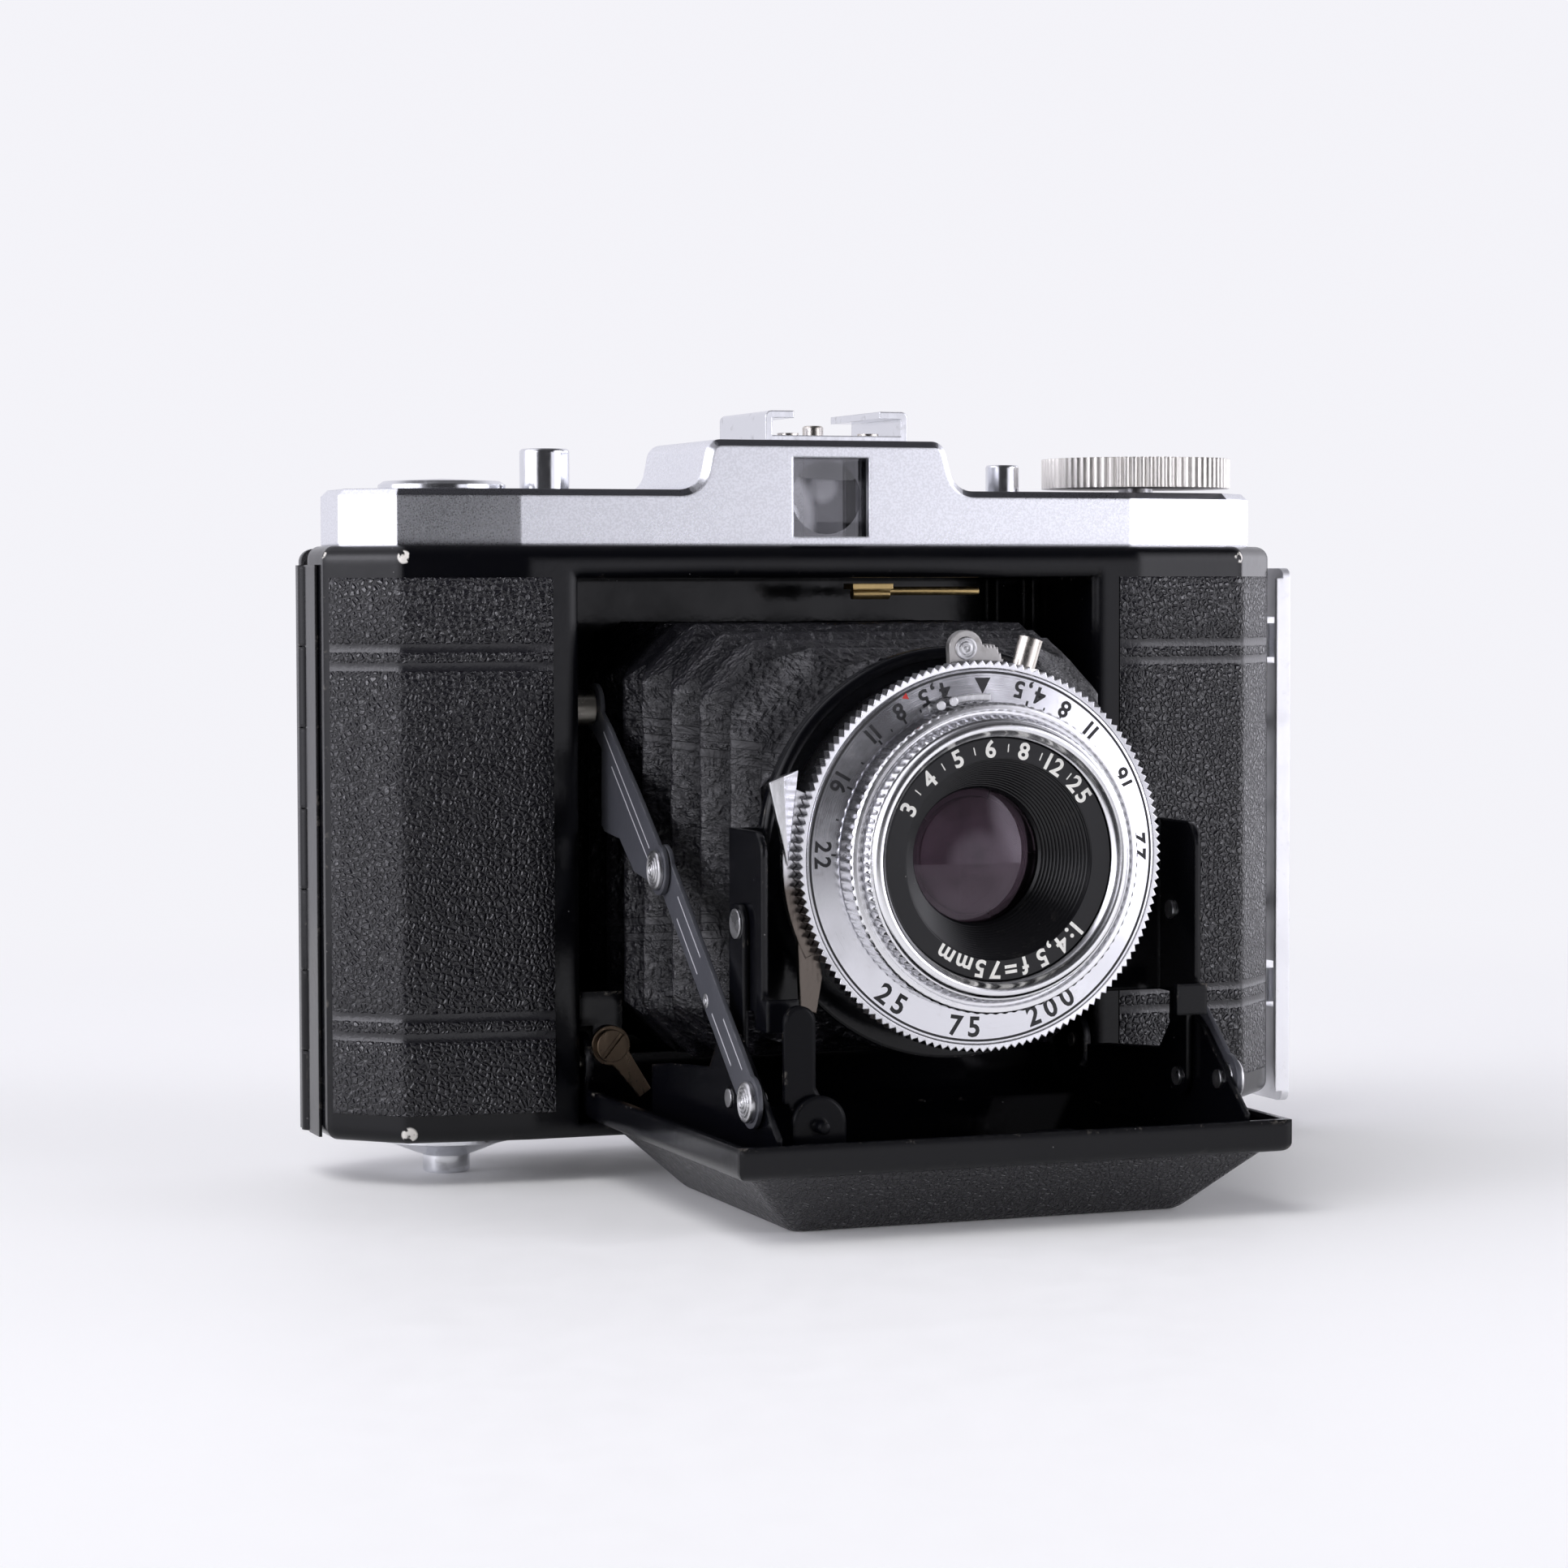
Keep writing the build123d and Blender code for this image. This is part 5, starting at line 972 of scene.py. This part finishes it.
def stroke_text(name, text, radius, middle, height, y, look, outward, spacing=1.12):
    """Characters round the lens axis, their tops outward or toward the axis."""
    glyphs = []
    for letter in text:
        curve = bpy.data.curves.new(name, "FONT")
        curve.body = letter
        curve.size = height * MM / 0.70
        curve.extrude = MARK_DEPTH * MM / 2
        curve.offset = 0.035 * height * MM
        curve.resolution_u = 3
        source = bpy.data.objects.new(name, curve)
        mesh = bpy.data.meshes.new_from_object(source)
        bpy.data.objects.remove(source)
        xs = [v.co.x for v in mesh.vertices] or [0.0, height * MM * 0.45]
        glyphs.append((mesh, min(xs), max(xs)))
    gap = height * MM * 0.22 * spacing
    widths = [high - low for _, low, high in glyphs]
    total = sum(widths) + gap * (len(glyphs) - 1)
    sign = 1 if outward else -1
    at = -total / 2
    build = bmesh.new()
    for (mesh, low, high), width in zip(glyphs, widths):
        turn = radians(middle) + sign * (at + width / 2) / (radius * MM)
        radial = Vector((sin(turn), 0.0, cos(turn)))
        up = radial * sign
        right = Vector((cos(turn), 0.0, -sin(turn))) * sign
        origin = radial * radius * MM + Vector((0, y * MM, LENS_Z)) - up * height * MM / 2
        before = len(build.verts)
        build.from_mesh(mesh)
        build.verts.ensure_lookup_table()
        for v in build.verts[before:]:
            local = v.co.copy()
            v.co = origin + right * (local.x - (low + high) / 2) + up * local.y
            v.co += Vector(TO_SUBJECT) * local.z
        at += width + gap
    whole = bpy.data.meshes.new(name)
    build.to_mesh(whole)
    build.free()
    whole.materials.append(look.material)
    return add_object(name, whole)


def bars(name, outlines, y, look):
    """Flat marks in the lens's plane: each a list of (x, z) corners from the axis."""
    parts = [plate(name, outline, MARK_DEPTH, in_lens_plane(y), look) for outline in outlines]
    return join(name, parts)


def radial_bar(angle, inner, outer, half_width):
    """The corners of a thin bar that points at the lens axis."""
    out = Vector((sin(radians(angle)), cos(radians(angle))))
    side = Vector((out.y, -out.x)) * half_width
    ends = (out * inner - side, out * outer - side, out * outer + side, out * inner + side)
    return [(p.x, p.y) for p in ends]


def make_scales():
    face = -65.6 - 0.005
    ink = LOOKS["ink"]
    marks = ((17.5, "4,5"), (31.5, "8"), (43.5, "11"), (63.5, "16"), (88.0, "22"))
    parts = []
    for angle, text in marks:
        for side in (-1, 1):
            parts.append(stroke_text("stop", text, 21.7, side * angle, 2.1, face, ink, False))
    parts.append(stroke_text("speeds", "25   75   200", 21.6, 183.0, 2.5, face, ink, False, 1.5))
    ticks = [radial_bar(side * angle, 19.95, 20.6, 0.13) for angle, _ in marks for side in (-1, 1)]
    for angle in (24.5, 37.5, 53.5, 75.5):
        ticks += [radial_bar(side * angle, 20.2, 20.6, 0.09) for side in (-1, 1)]
    parts.append(bars("ticks", ticks, face, ink))
    parts.append(bars("arrow", [[(-1.05, 22.7), (1.05, 22.7), (0.0, 20.7)]], face, ink))
    scale = join("aperture_scale", parts)
    on_body(scale, "standard", "lens_black")
    corners = [(-11.0, 20.2), (-10.5, 20.9), (-10.1, 20.1)]
    dot = bars("red_mark", [corners], face, LOOKS["red_paint"])
    on_body(dot, "standard", "red_plastic")
    line = [(-65.55, 23.55), (-65.62, 23.55), (-65.62, 23.25), (-65.55, 23.25)]
    lens_lathe("face_plate_line", line, ink, "standard", "lens_black", (), closed=True, steps=192)
    front = -70.9 - 0.005
    radius = 13.95
    cream = LOOKS["white_paint"]
    parts = [
        stroke_text("f_number", "1:4,5", radius, 143.5, 2.15, front, cream, True, 1.3),
        stroke_text("focal_length", "f=75mm", radius, 190.0, 2.15, front, cream, True, 1.3),
    ]
    for angle, text in zip(range(-62, 72, 19), ("3", "4", "5", "6", "8", "12", "25")):
        parts.append(stroke_text("distance", text, radius, angle, 2.1, front, cream, True, 1.2))
    dashes = [radial_bar(angle, 13.5, 14.5, 0.07) for angle in range(-52, 60, 19)]
    parts.append(bars("dashes", dashes, front, cream))
    lettering = join("lens_lettering", parts)
    on_body(lettering, "focus", "lens_black")


# ---- Links ----
STRUT_HEAD = (-9.6, 58.1)
STRUT_KNEE = (-36.7, 37.6)
STRUT_FOOT = (-69.6, 11.0)
STRUT_MIDDLE = (-53.5, 22.0)
# Along X: the outer faces of the struts.
LOWER_FACE = 33.0
UPPER_FACE = 33.8
# Along X: the inner end of the foot rivet, its washer between gusset and strut, and its head.
FOOT_LEVELS = (31.0, 32.15, 32.38, 33.02)


def ringed_head(name, spot, foot, radius, height, side, look, rings=3, shank=None):
    """A rivet head with turned rings and a small centre, standing out along X on its shank."""
    profile = shank or [(-1.2, 0.0), (-1.2, radius * 0.45), (0.0, radius * 0.45)]
    profile = profile + [(0.0, radius - 0.05), (0.05, radius)]
    profile += [(height * 0.45, radius), (height * 0.62, radius - 0.12)]
    band = (radius - 0.55) / rings
    for i in range(rings):
        outer = radius - 0.25 - i * band
        level = height * (0.66 + 0.1 * i)
        profile += [(level, outer), (level + 0.03, outer - band * 0.45)]
        profile += [(level - 0.16, outer - band * 0.60), (level - 0.14, outer - band * 0.85)]
    profile += [(height * 0.93, 0.28), (height, 0.12), (height, 0.0)]
    centre = Vector((side * foot, spot[0], spot[1])) * MM
    return lathe(name, profile, centre, (side, 0, 0), look, steps=48)


def make_rivets():
    steel = LOOKS["steel"]
    inner, disc, disc_end, foot = FOOT_LEVELS
    shank = [(inner - foot, 0.0), (inner - foot, 1.2), (disc - foot, 1.2), (disc - foot, 2.2)]
    shank += [(disc_end - foot, 2.2), (disc_end - foot, 1.2), (0.0, 1.2)]
    pin = [(-0.45, 0.0), (-0.45, 0.43), (0.0, 0.43)]
    knees, feet, studs = [], [], []
    for side in (-1, 1):
        knees.append(ringed_head("knee", STRUT_KNEE, UPPER_FACE, 2.6, 1.1, side, steel, 4))
        feet.append(ringed_head("foot", STRUT_FOOT, foot, 2.6, 1.18, side, steel, 4, shank))
        studs.append(ringed_head("mid", STRUT_MIDDLE, LOWER_FACE, 0.95, 0.16, side, steel, 1, pin))
    on_body(join("knee_rivet_heads", knees), "upper_strut_pair", "steel", "knee_rivets")
    on_body(join("strut_foot_heads", feet), "lower_strut_pair", "steel", "lower_strut_rivets")
    on_body(join("strut_mid_rivets", studs), "lower_strut_pair", "steel")


# The depth that the lug and the release lever lie at, and the middle of the lug's ear.
LEVER_BACK = -62.3
LUG_CENTRE = (-1.4, 26.4)


def make_lug():
    """The lug over the shutter: an ear with a ringed rivet, and a toothed arc beside it."""
    outline = [polar(23.9, angle) for angle in (-8.5, -4.0, 0.0, 4.0, 8.5)]
    for i in range(13):
        angle = 8.5 - 6.4 * i / 12
        crown = 25.3 + 1.7 * min(1.0, (8.5 - angle) / 2.6)
        outline.append(polar(crown - (0.5 if i % 2 else 0.0), angle))
    for degree in range(10, 200, 15):
        turn = radians(degree)
        outline.append((LUG_CENTRE[0] + 2.3 * cos(turn), LUG_CENTRE[1] + 2.3 * sin(turn)))
    place, thickness = in_lens_plane(LEVER_BACK), 1.25
    lug = plate("speed_lug", outline, thickness, place, LOOKS["lug_steel"])
    on_body(lug, "speed_setting", "nickel", "speed_ring_tab")
    profile = [(-0.3, 0.0), (-0.3, 1.5), (0.0, 1.5), (0.18, 1.4), (0.20, 1.15), (0.02, 1.08)]
    profile += [(0.02, 0.85), (0.22, 0.8), (0.24, 0.5), (0.06, 0.45), (0.06, 0.25)]
    profile += [(0.26, 0.2), (0.28, 0.0)]
    centre = place(*LUG_CENTRE, thickness)
    rivet = lathe("lug_rivet_head", profile, centre, TO_SUBJECT, LOOKS["steel"], steps=40)
    on_body(rivet, "speed_setting", "nickel")


def make_release_lever():
    """The shutter's release: a folded thumb piece, an arm behind the toothed ring, and its foot."""
    look = LOOKS["lever_nickel"]
    place = in_lens_plane(LEVER_BACK)
    corners = ((-28.0, 9.8, 1.1), (-26.4, 10.6, 2.0), (-24.1, 11.3, 1.0), (-25.7, -0.6, 1.5))
    verts = [place(u, v, w) for u, v, w in corners] + [place(u, v, 0.5) for u, v, _ in corners]
    faces = [(0, 1, 3), (1, 2, 3), (5, 4, 7), (6, 5, 7)]
    faces += [(0, 4, 5, 1), (1, 5, 6, 2), (2, 6, 7, 3), (3, 7, 4, 0)]
    thumb = mesh_piece("thumb", verts, faces, look)
    arm = [polar(26.2, angle) for angle in range(-70, -119, -4)]
    arm += [polar(23.9, angle) for angle in range(-118, -69, 4)]
    foot = [(-24.2, -8.6), (-21.6, -10.4), (-20.9, -14.8), (-21.7, -19.3), (-23.8, -18.6)]
    parts = [thumb, plate("arm", arm, 1.0, place, look), plate("foot", foot, 0.9, place, look)]
    on_body(join("release_lever", parts), "shutter_lever", "nickel", "shutter_release_lever")


def make_standard_rim():
    """The rolled edge round the top of the lens standard, ending at its two side flanges."""
    rings = []
    stops, sides = 72, 10
    for i in range(stops + 1):
        share = i / stops
        turn = radians(-97.0 + 194.0 * share)
        taper = min(1.0, 6.0 * min(share, 1.0 - share) + 0.25)
        ring = []
        for k in range(sides):
            round_turn = 2 * pi * k / sides
            radius = 25.75 + 0.85 * taper * cos(round_turn)
            y = -56.0 - 0.75 * taper * sin(round_turn)
            ring.append(Vector((radius * sin(turn), y, LENS_Z / MM + radius * cos(turn))) * MM)
        rings.append(ring)
    verts, faces = loft_rings(rings)
    rim = mesh_piece("standard_rolled_rim", verts, faces, LOOKS["black_enamel"], 60.0)
    on_body(rim, "standard", "black_enamel")


def strut_line(start, end, offset, face, side, trim):
    """A thin painted line along a strut's outer face, as a flat bar."""
    first, last = Vector(start), Vector(end)
    along = (last - first).normalized()
    across = Vector((-along.y, along.x))
    a = first + along * trim[0] + across * offset
    b = last - along * trim[1] + across * offset
    half = across * 0.11
    outline = [tuple(a - half), tuple(b - half), tuple(b + half), tuple(a + half)]

    def place(u, v, w):
        return Vector((side * (face - 0.02 + w), u, v)) * MM

    return plate("line", outline, 0.045, place, LOOKS["line_white"])


def make_strut_lines():
    # Each line: its offset from the strut's middle, and how far its ends stay from the rivets.
    upper_rows = ((0.15, (4.2, 5.5)), (-1.45, (2.6, 11.0)))
    lower_rows = ((1.25, (4.4, 29.0)), (1.25, (24.5, 6.5)))
    lower_rows += ((-1.25, (7.6, 25.5)), (-1.25, (24.0, 8.0)))
    upper, lower = [], []
    for side in (-1, 1):
        for offset, trim in upper_rows:
            upper.append(strut_line(STRUT_KNEE, STRUT_HEAD, offset, UPPER_FACE, side, trim))
        for offset, trim in lower_rows:
            lower.append(strut_line(STRUT_FOOT, STRUT_KNEE, offset, LOWER_FACE, side, trim))
    on_body(join("upper_strut_lines", upper), "upper_strut_pair", "strut_grey")
    on_body(join("lower_strut_lines", lower), "lower_strut_pair", "strut_grey")


bpy.context.scene.view_settings.view_transform = "Standard"
make_camera()
make_stage()
make_world()
area_light("key", (-0.6, -0.4, 1.25), (0, -0.05, 0.0), 0.8, 7.6)
area_light("fill", (0.9, -0.9, 0.6), (0, -0.03, 0.04), 0.8, 2.0)
dress_nodes()
make_front_leather()
make_back_leather()
make_door_leather()
make_bellows()
make_lens_rings()
make_scales()
make_rivets()
make_strut_lines()
make_lug()
make_release_lever()
make_standard_rim()
